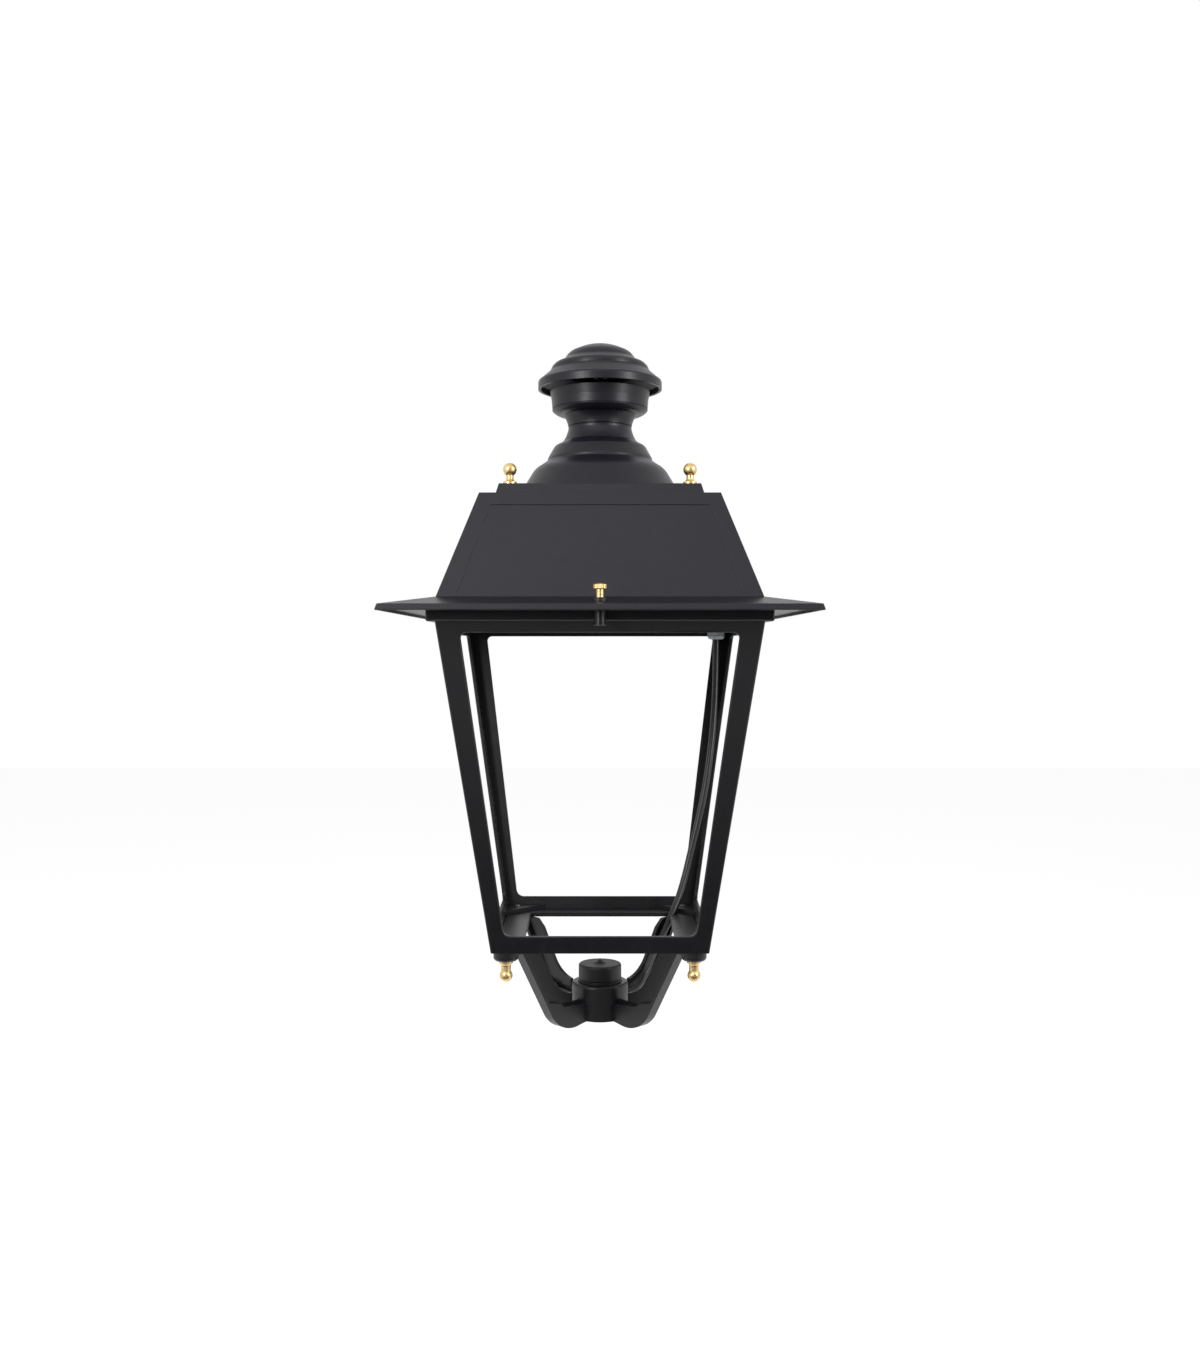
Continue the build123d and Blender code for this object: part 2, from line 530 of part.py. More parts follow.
save("gear_tray", gear_tray())
save("tray_screws", group(
    Pos(x, y, TRAY_TOP_Z) * pan_screw(TRAY_SCREW_R, TRAY_T + 3) for x, y in TRAY_SCREWS_AT
))
save("led_heatsink", led_heatsink())
save("led_board", block((-BOARD_HALF, BOARD_HALF), (-BOARD_HALF, BOARD_HALF), (BOARD_Z, SINK_POCKET_Z)))
save("led_chips", group(
    block((x - CHIP_HALF, x + CHIP_HALF), (y - CHIP_HALF, y + CHIP_HALF), (BOARD_Z - CHIP_T, BOARD_Z))
    for x, y in LED_AT
))
save("lens_array", lens_array())
GLASS_LOW_Z = BEZEL_LOW_Z + BEZEL_LIP
save("optic_glass", block(
    (-GLASS_HALF, GLASS_HALF), (-GLASS_HALF, GLASS_HALF), (GLASS_LOW_Z, GLASS_LOW_Z + GLASS_T)
))
save("optic_gasket", optic_gasket())
save("optic_bezel", optic_bezel())
save("bezel_screws", group(
    Pos(x, y, BEZEL_LOW_Z + 2.2) * Rot(180, 0, 0) * pan_screw(SMALL_SCREW_R, TRAY_TOP_Z - BEZEL_LOW_Z - 2.4)
    for x, y in BEZEL_SCREWS_AT
))
save("led_driver", led_driver())
save("driver_screws", group(
    Pos(DRIVER_X, y, DRIVER[2][0] + DRIVER_TAB_T) * pan_screw(SMALL_SCREW_R, 6) for y in DRIVER_TABS_Y
))
save("surge_protector", fillet(block(*SURGE).edges().filter_by(Axis.Z), 2.0))
save("terminal_block", terminal_block())
save("gland_body", gland_body())
save("gland_dome_nut", gland_dome_nut())
save("gland_locknut", Pos(GLAND_AT, GLAND_AT, 0) * (
    hexagon(22, TRAY_TOP_Z, TRAY_TOP_Z + 5) - rod(GLAND_THREAD_R + FIT, TRAY_TOP_Z - 1, TRAY_TOP_Z + 6)
))
save("roof_gasket", square_ring(169.6, 165.6, CROWN_TOP_Z, 448.8))
save("hinge_pins", group(
    Pos(x, HINGE_Y, HINGE_Z) * Rot(0, 90, 0) * Cylinder(HINGE_PIN_R, KNUCKLE_WIDTH + 2 * LUG_WIDTH + 3)
    for x in HINGE_AT
))


# ---- cables: straight runs joined by tangent arcs ----
def corner_radii(route):
    """Radius of each arc: 0.45 of the shorter run beside it, over the tangent of half its turn."""
    radii = []
    for before, at, after in zip(route, route[1:], route[2:]):
        run_in, run_out = Vector(*at) - Vector(*before), Vector(*after) - Vector(*at)
        turn = math.radians(run_in.get_angle(run_out))
        radii.append(0.45 * min(run_in.length, run_out.length) / math.tan(turn / 2))
    return radii


def tube(name, route, r):
    """Round cable along a route, with its radii, length and volume printed."""
    radii = corner_radii(route)
    path = FilletPolyline(*route, radius=radii)
    start = Plane(origin=path @ 0, z_dir=path % 0)
    body = sweep(start * Circle(r), path=path)
    print(name, "radii", [round(value, 1) for value in radii])
    straight_volume = math.pi * r * r * path.length
    print(name, "length", round(path.length, 1), "volume", round(body.volume / straight_volume, 4))
    return body


CABLE_ROUTE = [
    (100.0, 71.5, 446.0), (100.0, 90.0, 446.5), (103.0, 106.5, 453.0), (111.5, 120.0, 464.5),
    (123.5, 131.5, 471.0), (135.0, 138.4, 467.0), (139.7, 139.7, 452.0), (139.75, 139.75, 414.0),
    (139.3, 137.5, 374.0), (137.1, 128.5, 334.3), (132.4, 115.5, 291.2), (124.8, 107.0, 242.0),
    (116.0, 102.8, 202.6), (107.0, 99.2, 167.7), (99.2, 92.4, 137.0), (88.6, 79.8, 106.7),
    (71.2, 61.4, 75.1), (59.3, 49.6, 55.3), (49.2, 38.4, 31.0), (35.0, 13.2, 20.0), (13.5, 5.0, 19.5),
]
LEAD_ROUTE = [(-84.0, 42.0, 442.0), (-79.5, 42.0, 442.0), (-74.5, 32.0, 438.8), (-60.0, 32.0, 438.8)]
save("supply_cable", tube("supply_cable", CABLE_ROUTE, CABLE_R))
save("led_lead", tube("led_lead", LEAD_ROUTE, LEAD_R))


# ---- roof ----
BRIM_RISE = (SLOPE_LOW_Z - LIP_TOP_Z) / (LIP_TOP_HALF - SLOPE_LOW_HALF)
SLOPE_RUN = (SLOPE_LOW_HALF - SLOPE_TOP_HALF) / (ROOF_TOP_Z - SLOPE_LOW_Z)
BRIM_T = ROOF_WALL * math.hypot(1, BRIM_RISE)
SLOPE_T = ROOF_WALL * math.hypot(1, SLOPE_RUN)
GROMMET_NECK_R, GROMMET_R, GROMMET_TOP_Z = 5.8, 7.05, 452.4
SEAT_RIB_OUT, SEAT_RIB_IN, SEAT_Z = 169.0, 164.8, 449.0
PANEL_DEPTH = 0.6
PANEL_LOW_HALF, PANEL_TOP_HALF = SLOPE_LOW_HALF - 19.6, SLOPE_TOP_HALF + 4.9 - 17.0
LEAF_T, LEAF_Y = 3.0, (176.0, 205.0)
LEAF_SCREWS_Y, LEAF_SCREW_R = 198.0, 1.85
LEAF_SCREWS_X = [x + dx for x in HINGE_AT for dx in (-6.0, 6.0)]


def brim_z(half):
    """Height of the brim's top face at a half width."""
    return LIP_TOP_Z + (LIP_TOP_HALF - half) * BRIM_RISE


def on_brim(x):
    """Place of a hinge screw on the back of the brim, square to its top face."""
    return Pos(x, LEAF_SCREWS_Y, brim_z(LEAF_SCREWS_Y)) * Rot(-math.degrees(math.atan(BRIM_RISE)), 0, 0)


def panel_cut():
    """Shallow sunk field of one slope, on the -Y side."""
    slope_length = math.hypot(SLOPE_LOW_HALF - SLOPE_TOP_HALF, ROOF_TOP_Z - SLOPE_LOW_Z)
    out = Vector(0, -(ROOF_TOP_Z - SLOPE_LOW_Z), SLOPE_LOW_HALF - SLOPE_TOP_HALF)
    face_plane = Plane(origin=(0, -SLOPE_LOW_HALF, SLOPE_LOW_Z), x_dir=(1, 0, 0), z_dir=out)
    low, high = 1.2, slope_length - 13.5
    corners = [(-PANEL_LOW_HALF, low), (PANEL_LOW_HALF, low), (PANEL_TOP_HALF, high), (-PANEL_TOP_HALF, high)]
    field = Polyline(*corners, close=True)
    return extrude(face_plane * make_face(field), PANEL_DEPTH, both=True)


def roof_shell():
    body = square_tower(
        (BRIM_HALF, LIP_LOW_Z), (LIP_TOP_HALF, LIP_TOP_Z), (SLOPE_LOW_HALF, SLOPE_LOW_Z),
        (SLOPE_TOP_HALF, ROOF_TOP_Z),
    )
    rim = [e for e in body.edges() if e.center().Z < LIP_TOP_Z + 0.1]
    body = fillet(rim, 0.8)
    lip_half = BRIM_HALF - ROOF_WALL
    inner_low_z = brim_z(lip_half) - BRIM_T
    inner_top_z = ROOF_TOP_Z - ROOF_WALL
    # Where the underside of the brim meets the inside of the slope.
    run = SLOPE_LOW_HALF - SLOPE_T + (SLOPE_LOW_Z - brim_z(0) + BRIM_T) * SLOPE_RUN
    fold_half = run / (1 - BRIM_RISE * SLOPE_RUN)
    fold_z = brim_z(fold_half) - BRIM_T
    top_half = SLOPE_LOW_HALF - SLOPE_T - (inner_top_z - SLOPE_LOW_Z) * SLOPE_RUN
    body -= square_tower(
        (lip_half, LIP_LOW_Z - 1), (lip_half, inner_low_z), (fold_half, fold_z), (top_half, inner_top_z)
    )
    body += square_ring(SEAT_RIB_OUT, SEAT_RIB_IN, SEAT_Z, brim_z(SEAT_RIB_IN) - BRIM_T / 2)
    panel = panel_cut()
    for turn in range(4):
        body -= Rot(0, 0, 90 * turn) * panel
    body -= rod(GROMMET_NECK_R + 0.1, LIP_LOW_Z, PLATE_TOP_Z, 0, SCREW_Y)
    body -= rod(ROD_R + 0.3, inner_top_z - 1, ROOF_TOP_Z + 1)
    for hole in at_corners(rod(ROOF_STUD_R + 0.3, inner_top_z - 1, ROOF_TOP_Z + 1), ROOF_STUD_AT):
        body -= hole
    for x in LEAF_SCREWS_X:
        body -= on_brim(x) * Cylinder(LEAF_SCREW_R + 0.2, 30)
    return body


def hinge_leaf(x):
    """Strap under the brim that ends in the roof's half of the hinge."""
    rise = [(y, brim_z(y) - BRIM_T) for y in LEAF_Y]
    low = [(y, z - LEAF_T) for y, z in rise]
    side = make_face(Polyline(*rise, low[1], low[0], close=True))
    strap = Pos(x, 0, 0) * extrude(Plane.YZ * side, KNUCKLE_WIDTH / 2, both=True)
    eye = Pos(x, HINGE_Y, HINGE_Z) * Rot(0, 90, 0) * Cylinder(KNUCKLE_R, KNUCKLE_WIDTH)
    span = (x - KNUCKLE_WIDTH / 2, x + KNUCKLE_WIDTH / 2)
    neck = block(span, (HINGE_Y - 5, HINGE_Y + KNUCKLE_R), (HINGE_Z, brim_z(HINGE_Y) - BRIM_T - 1))
    body = strap + eye + neck
    body -= Pos(x, HINGE_Y, HINGE_Z) * Rot(0, 90, 0) * Cylinder(HINGE_PIN_R + FIT, KNUCKLE_WIDTH + 2)
    for screw_x in LEAF_SCREWS_X:
        body -= on_brim(screw_x) * Cylinder(LEAF_SCREW_R + FIT, 30)
    return body


def screw_grommet():
    """Washer on the brim with a neck through it. The screw's retaining ring can rise into the neck."""
    under = brim_z(-SCREW_Y) - BRIM_T
    body = rod(GROMMET_NECK_R, under, GROMMET_TOP_Z, 0, SCREW_Y)
    body += rod(GROMMET_R, under + 2, GROMMET_TOP_Z, 0, SCREW_Y) - ROOF_SOLID
    top_edge = body.edges().filter_by_position(Axis.Z, GROMMET_TOP_Z - 0.01, GROMMET_TOP_Z + 0.01)
    body = fillet(top_edge, 0.5)
    body -= rod(SHANK_R + 0.35, under - 1, GROMMET_TOP_Z + 1, 0, SCREW_Y)
    return body - rod(RING_R + 0.3, under - 2, RING_TOP_Z + SCREW_TRAVEL + 0.2, 0, SCREW_Y)


ROOF_SOLID = roof_shell()
save("roof_shell", ROOF_SOLID)
save("hinge_leaves", group(hinge_leaf(x) for x in HINGE_AT))
save("leaf_screws", group(on_brim(x) * pan_screw(LEAF_SCREW_R, 6.5) for x in LEAF_SCREWS_X))
save("screw_grommet", screw_grommet())


# ---- chimney: plate and bell, cup, hat, and what holds them ----
PLATE_WALL = 4.0
STUD_BOSS_R = 9.0
ROOF_NUT_TOP_Z = ROOF_TOP_Z - ROOF_WALL
NECK_R = 33.6
CUP_FLOOR_Z = NECK_Z + 5.5
ROD_LOW_Z, ROD_TOP_Z = 546.0, 728.0
ROD_NUT_AF, ROD_NUT_H = 13.0, 6.5
WASHER_R, WASHER_T = 12.0, 1.6
DOME_SIDE_R, DOME_SIDE_Z = 27.5, 731.7
HAT_WALL = 3.0
HAT_BOSS_R, HAT_BOSS_LOW_Z = 9.0, 702.0


def chimney_base():
    plate = square_tower((PLATE_LOW_HALF, ROOF_TOP_Z), (PLATE_TOP_HALF, PLATE_TOP_Z))
    plate = fillet([e for e in plate.edges() if e.center().Z > ROOF_TOP_Z + 1], 0.8)
    under = square_tower(
        (PLATE_LOW_HALF - PLATE_WALL, ROOF_TOP_Z - 1), (PLATE_TOP_HALF - PLATE_WALL, PLATE_TOP_Z - PLATE_WALL)
    )
    body = plate - under
    for boss in at_corners(rod(STUD_BOSS_R, ROOF_TOP_Z, PLATE_TOP_Z - 1), ROOF_STUD_AT):
        body += boss
    bell = turned(
        (0, PLATE_TOP_Z - 1), (88.6, PLATE_TOP_Z - 1), (88.0, PLATE_TOP_Z), (75.0, 594.3),
        ((70.0, 600.6), (64.6, 604.3)), (58.6, 608.6), ((57.7, 609.6), (57.4, 611.4)), (56.8, 613.0),
        (50.6, 624.0), ((48.2, 626.3), (44.3, 628.0)), (40.2, 631.2), ((36.9, 637.5), (34.8, 644.0)),
        (34.7, 646.4), (NECK_R, 646.4), (NECK_R, NECK_Z), (0, NECK_Z),
    )
    hollow = turned(
        (0, ROOF_TOP_Z - 1), (83.0, ROOF_TOP_Z - 1), (82.0, PLATE_TOP_Z), (70.5, 592.0),
        ((65.0, 598.0), (60.6, 601.0)), (54.2, 606.0), (52.6, 612.4), (46.8, 622.0),
        ((44.6, 623.8), (40.6, 625.4)), (36.6, 628.8),
        ((33.0, 636.5), (30.6, 644.0)), (30.2, NECK_Z + 1), (0, NECK_Z + 1),
    )
    body = body + bell - hollow
    for hole in at_corners(rod(ROOF_STUD_R + 0.3, ROOF_TOP_Z - 1, PLATE_TOP_Z + 1), ROOF_STUD_AT):
        body -= hole
    return body


def chimney_cup():
    foot_z = NECK_Z + 0.6
    return turned(
        (ROD_R + 0.3, NECK_Z), (NECK_R, NECK_Z), (NECK_R, foot_z), (35.0, foot_z),
        ((36.8, 654.2), (40.4, 660.0)), ((48.4, 661.7), (52.6, 665.4)),
        (51.6, 665.8), (51.6, 666.6), (52.4, 666.8), (53.1, 676.0),
        (54.8, CUP_RIM_Z), (51.8, CUP_RIM_Z), (50.2, 676.0), (49.4, 669.4), ((46.5, 666.0), (41.0, 663.8)),
        ((35.6, 659.4), (32.4, CUP_FLOOR_Z)), (ROD_R + 0.3, CUP_FLOOR_Z),
    )


def chimney_hat():
    inner_r = HAT_RIM_R - HAT_WALL
    return turned(
        (HAT_RIM_R, HAT_RIM_Z), (HAT_RIM_R, 695.4), ((67.2, 697.2), (65.6, 698.4)), (54.8, 707.6),
        (54.4, 709.0), (53.5, 709.2), (53.4, 711.3), (52.5, 711.5), (52.3, 713.3), (51.4, 713.5),
        ((49.7, 715.8), (45.9, 717.4)), (38.9, 721.6), (38.0, 722.8),
        ((34.8, 727.3), (DOME_SIDE_R, DOME_SIDE_Z)),
        cap(DOME_SIDE_R, DOME_SIDE_Z, HAT_TOP_Z - DOME_SIDE_Z), (0, ROD_TOP_Z), (ROD_R + FIT, ROD_TOP_Z),
        (ROD_R + FIT, HAT_BOSS_LOW_Z), (HAT_BOSS_R, HAT_BOSS_LOW_Z), (HAT_BOSS_R, 733.0),
        ((21.0, 730.8), (28.0, 727.4)), ((32.4, 723.2), (34.0, 718.2)),
        (37.4, 718.2), ((44.6, 714.4), (48.4, 710.4)), (50.6, 706.8), (inner_r, 694.6), (inner_r, HAT_RIM_Z),
    )


def rod_nut(low):
    return hexagon(ROD_NUT_AF, low, low + ROD_NUT_H) - rod(ROD_R + FIT, low - 1, low + ROD_NUT_H + 1)


WASHER_Z = ROOF_NUT_TOP_Z - WASHER_T
STUD_NUT_Z = ROOF_NUT_TOP_Z - NUT_H
ROOF_NUT = Pos(0, 0, PLATE_TOP_Z) * ball_nut(7.0, 3.7, 7.1, ROOF_STUD_R + FIT)
STUD_NUT = hexagon(NUT_AF, STUD_NUT_Z, ROOF_NUT_TOP_Z)
STUD_NUT -= rod(ROOF_STUD_R + FIT, STUD_NUT_Z - 1, ROOF_NUT_TOP_Z + 1)
WASHER = rod(WASHER_R, WASHER_Z, ROOF_NUT_TOP_Z) - rod(ROD_R + 0.3, WASHER_Z - 1, ROOF_NUT_TOP_Z + 1)
save("chimney_base", chimney_base())
save("chimney_cup", chimney_cup())
save("chimney_hat", chimney_hat())
save("chimney_rod", rod(ROD_R, ROD_LOW_Z, ROD_TOP_Z))
save("chimney_rod_nuts", group([rod_nut(CUP_FLOOR_Z), rod_nut(WASHER_Z - ROD_NUT_H)]))
save("chimney_washer", WASHER)
save("roof_studs", group(at_corners(rod(ROOF_STUD_R, STUD_NUT_Z - 2, PLATE_TOP_Z + 12), ROOF_STUD_AT)))
save("roof_stud_nuts", group(at_corners(STUD_NUT, ROOF_STUD_AT)))
save("roof_ball_nuts", group(at_corners(ROOF_NUT, ROOF_STUD_AT)))


# ---- thumbscrew and the ring that keeps it on the roof ----
HEAD_Z, HEAD_TOP_Z, DOME_TOP_Z = 460.5, 465.0, 466.5
SHANK_LOW_Z = BOSS_TOP_Z - SCREW_TRAVEL + 0.2


def thumbscrew():
    head = turned(
        (0, HEAD_Z), (HEAD_R - 0.4, HEAD_Z), (HEAD_R, HEAD_Z + 0.4), (HEAD_R, HEAD_TOP_Z - 0.4),
        (HEAD_R - 0.4, HEAD_TOP_Z), cap(HEAD_R - 0.4, HEAD_TOP_Z, DOME_TOP_Z - HEAD_TOP_Z),
    )
    groove_low, groove_high = RING_Z - FIT, RING_TOP_Z + FIT
    groove_r = RING_INNER_R - FIT
    shank = turned(
        (0, SHANK_LOW_Z), (SHANK_R - 0.8, SHANK_LOW_Z), (SHANK_R, SHANK_LOW_Z + 0.8), (SHANK_R, groove_low),
        (groove_r, groove_low), (groove_r, groove_high), (SHANK_R, groove_high), (SHANK_R, HEAD_Z + 0.2),
        (0, HEAD_Z + 0.2),
    )
    return Pos(0, SCREW_Y, 0) * (head + shank)


def retaining_ring():
    ring = rod(RING_R, RING_Z, RING_TOP_Z) - rod(RING_INNER_R, RING_Z - 1, RING_TOP_Z + 1)
    return Pos(0, SCREW_Y, 0) * (ring - block((0, 10), (-1.5, 1.5), (RING_Z - 1, RING_TOP_Z + 1)))


save("thumbscrew", thumbscrew())
save("retaining_ring", retaining_ring())
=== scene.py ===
"""Looks for a square, open post top lantern: powder-coated castings, brass nuts and a rubber cable.

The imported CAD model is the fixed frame. Turned pieces, the cables and the studio are made here, and every
other piece keeps its CAD solid and gets its finish. The object's dataclasses are in millimetres, the studio
and all meshes in metres, and +Z is up.
"""

import json
import logging
import math
from collections.abc import Mapping, Sequence
from dataclasses import dataclass, field
from enum import Enum

import bmesh
import bpy
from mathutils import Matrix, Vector

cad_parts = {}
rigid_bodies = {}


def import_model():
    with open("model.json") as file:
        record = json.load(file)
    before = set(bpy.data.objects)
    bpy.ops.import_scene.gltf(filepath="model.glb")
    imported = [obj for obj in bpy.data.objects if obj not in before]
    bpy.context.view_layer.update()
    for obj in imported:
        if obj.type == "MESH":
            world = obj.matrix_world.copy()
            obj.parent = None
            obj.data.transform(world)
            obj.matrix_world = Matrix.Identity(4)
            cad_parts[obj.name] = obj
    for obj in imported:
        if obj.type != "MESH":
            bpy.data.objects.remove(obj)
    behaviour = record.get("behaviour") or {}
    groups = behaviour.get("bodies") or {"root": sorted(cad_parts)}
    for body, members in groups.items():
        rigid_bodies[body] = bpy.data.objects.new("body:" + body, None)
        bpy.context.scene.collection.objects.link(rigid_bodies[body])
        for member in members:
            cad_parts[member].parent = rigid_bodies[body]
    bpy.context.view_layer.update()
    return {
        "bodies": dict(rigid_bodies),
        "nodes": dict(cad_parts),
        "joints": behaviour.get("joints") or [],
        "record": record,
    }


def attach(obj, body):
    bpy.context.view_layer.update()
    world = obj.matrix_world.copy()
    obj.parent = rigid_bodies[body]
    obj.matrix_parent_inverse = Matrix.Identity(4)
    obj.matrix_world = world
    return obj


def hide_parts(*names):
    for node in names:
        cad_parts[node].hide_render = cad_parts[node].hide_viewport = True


LOG = logging.getLogger("lantern")
MM = 0.001
SEAM_MM = 0.002
CREASE = math.radians(38)
SOFT_TURN = 0.2
CORNER_SHARE = 0.4

Point = tuple[float, float]
Spot = tuple[float, float, float]
Step = Point | tuple[Point, Point]


# ---- small tools ----
def linear(code: str) -> tuple[float, float, float, float]:
    """Turns an sRGB colour into the linear one that shaders use.

    Args:
        code: sRGB hex value, such as "#1c1c1e".

    Returns:
        Linear red, green, blue and an alpha of 1.
    """
    channels = [int(code[i : i + 2], 16) / 255 for i in (1, 3, 5)]
    red, green, blue = (c / 12.92 if c <= 0.04045 else ((c + 0.055) / 1.055) ** 2.4 for c in channels)
    return red, green, blue, 1.0


def add_node(
    tree: bpy.types.NodeTree,
    kind: str,
    settings: Mapping[str, object] | None = None,
    values: Mapping[str | int, object] | None = None,
    links: Mapping[str | int, bpy.types.NodeSocket] | None = None,
) -> bpy.types.Node:
    """Adds one node to a tree, with its settings, its inputs' values and its links.

    Args:
        tree: The shader or geometry tree.
        kind: The node's type, as Blender names it.
        settings: The node's own options by name.
        values: Values of input sockets, by name or by number.
        links: Sockets that feed input sockets, by name or by number.

    Returns:
        The new node.
    """
    node = tree.nodes.new(kind)
    for option, value in (settings or {}).items():
        setattr(node, option, value)
    for socket, value in (values or {}).items():
        node.inputs[socket].default_value = value
    for socket, source in (links or {}).items():
        tree.links.new(source, node.inputs[socket])
    return node


def new_object(name: str, mesh: bpy.types.Mesh) -> bpy.types.Object:
    """Puts a mesh into the scene as an object at the origin.

    Args:
        name: The piece's name.
        mesh: Its mesh, already in place.

    Returns:
        The new object.
    """
    obj = bpy.data.objects.new(name, mesh)
    bpy.context.scene.collection.objects.link(obj)
    return obj


def baked(obj: bpy.types.Object) -> bpy.types.Object:
    """Turns an object's modifiers into its own plain mesh, facing outwards.

    Args:
        obj: The object with its live modifiers.

    Returns:
        The same object, without modifiers.
    """
    graph = bpy.context.evaluated_depsgraph_get()
    mesh = bpy.data.meshes.new_from_object(
        obj.evaluated_get(graph), preserve_all_data_layers=True, depsgraph=graph
    )
    obj.modifiers.clear()
    shape = bmesh.new()
    shape.from_mesh(mesh)
    if shape.calc_volume(signed=True) < 0:
        bmesh.ops.reverse_faces(shape, faces=shape.faces)
    shape.to_mesh(mesh)
    shape.free()
    mesh.name = obj.name
    obj.data = mesh
    return obj


def dress(frame: Mapping[str, dict], node: str, material: bpy.types.Material) -> None:
    """Gives a CAD node its finish.

    Args:
        node: The node's name.
        material: The finish.
    """
    slots = frame["nodes"][node].data.materials
    slots.clear()
    slots.append(material)
    LOG.info("%s: %s", node, material.name)


# ---- finishes ----
class Material:
    """What all finishes share: an empty node tree, its output and its coordinates in metres."""

    def __init__(self, name: str) -> None:
        """Starts a material.

        Args:
            name: The material's name.
        """
        self.data = bpy.data.materials.new(name)
        self.data.use_nodes = True
        self.tree = self.data.node_tree
        self.tree.nodes.clear()
        self.place = add_node(self.tree, "ShaderNodeTexCoord").outputs["Object"]

    def noise(
        self, size_mm: float, detail: float = 2.0, stretch: Point | None = None
    ) -> bpy.types.NodeSocket:
        """Adds soft noise with features of a real size.

        Args:
            size_mm: The size of one feature.
            detail: How many finer layers it has.
            stretch: Scale across the axis and along it, for drawn or brushed grain.

        Returns:
            The noise's value, about 0.5 on average.
        """
        place = self.place
        if stretch:
            scale = (stretch[0], stretch[0], stretch[1])
            place = add_node(
                self.tree, "ShaderNodeMapping", values={"Scale": scale}, links={"Vector": place}
            ).outputs["Vector"]
        return add_node(
            self.tree, "ShaderNodeTexNoise",
            values={"Scale": 1 / (size_mm * MM), "Detail": detail, "Roughness": 0.55},
            links={"Vector": place},
        ).outputs["Fac"]

    def spread(self, value: bpy.types.NodeSocket, low: float, high: float) -> bpy.types.NodeSocket:
        """Maps noise of 0.3 to 0.7 to another range.

        Args:
            value: The noise.
            low: What 0.3 becomes.
            high: What 0.7 becomes.

        Returns:
            The mapped value.
        """
        return add_node(
            self.tree, "ShaderNodeMapRange",
            values={"From Min": 0.3, "From Max": 0.7, "To Min": low, "To Max": high}, links={"Value": value},
        ).outputs["Result"]

    def mixed(self, share: bpy.types.NodeSocket, first: str, second: str) -> bpy.types.NodeSocket:
        """Mixes two colours.

        Args:
            share: How much of the second colour, from 0 to 1.
            first: sRGB hex value.
            second: sRGB hex value.

        Returns:
            The mixed colour.
        """
        return add_node(
            self.tree, "ShaderNodeMix", {"data_type": "RGBA"}, {6: linear(first), 7: linear(second)},
            {0: share},
        ).outputs[2]

    def bump(
        self, height: bpy.types.NodeSocket, depth_mm: float, edge_mm: float = 0.0
    ) -> bpy.types.NodeSocket:
        """Makes a surface's relief, on edges that are rounded as seen.

        Args:
            height: The relief's height, 0 to 1.
            depth_mm: What a height of 1 is.
            edge_mm: Radius of the softened edges, or 0.

        Returns:
            The normal.
        """
        links = {"Height": height}
        if edge_mm:
            links["Normal"] = add_node(
                self.tree, "ShaderNodeBevel", {"samples": 6}, {"Radius": edge_mm * MM}
            ).outputs["Normal"]
        return add_node(
            self.tree, "ShaderNodeBump", values={"Strength": 1.0, "Distance": depth_mm * MM}, links=links
        ).outputs["Normal"]

    def surface(
        self, values: Mapping[str, object], links: Mapping[str, bpy.types.NodeSocket]
    ) -> bpy.types.Material:
        """Closes the tree with the main shader.

        Args:
            values: The shader's constant inputs.
            links: Its patterned inputs.

        Returns:
            The finished material.
        """
        shader = add_node(self.tree, "ShaderNodeBsdfPrincipled", values=values, links=links)
        add_node(self.tree, "ShaderNodeOutputMaterial", links={"Surface": shader.outputs[0]})
        return self.data


@dataclass(frozen=True)
class PowderCoat:
    """Satin polyester powder coat, baked on a casting: soft wide highlights over a fine orange peel."""

    name: str
    colour: str
    worn: str
    roughness: float
    peel_mm: float = 0.8
    peel_depth_mm: float = 0.02
    specular: float = 0.4

    def build(self) -> bpy.types.Material:
        """Returns the material: cloudy colour, grainy gloss, orange peel and softened edges."""
        coat = Material(self.name)
        clouds = coat.noise(45.0, 3.0)
        grain = coat.noise(self.peel_mm, 3.0)
        gloss = coat.spread(coat.noise(9.0, 4.0), self.roughness - 0.03, self.roughness + 0.03)
        return coat.surface(
            {"Specular IOR Level": self.specular},
            {
                "Base Color": coat.mixed(coat.spread(clouds, 0.0, 1.0), self.colour, self.worn),
                "Roughness": gloss,
                "Normal": coat.bump(grain, self.peel_depth_mm, 0.5),
            },
        )


@dataclass(frozen=True)
class LacqueredBrass:
    """Turned and polished brass under clear lacquer: warm, with faint lathe lines round it."""

    name: str = "lacquered_brass"
    colour: str = "#e8d09a"
    deep: str = "#cfac68"
    line_mm: float = 0.35

    def build(self) -> bpy.types.Material:
        """Returns the material. The lathe lines run round the axis, so they change only with height."""
        brass = Material(self.name)
        lines = brass.noise(self.line_mm, 2.0, (0.02, 1.0))
        tone = brass.spread(brass.noise(5.0, 2.0), 0.0, 1.0)
        return brass.surface(
            {"Metallic": 1.0, "Coat Weight": 0.4, "Coat Roughness": 0.08},
            {
                "Base Color": brass.mixed(tone, self.colour, self.deep),
                "Roughness": brass.spread(lines, 0.32, 0.44),
                "Normal": brass.bump(lines, 0.008),
            },
        )


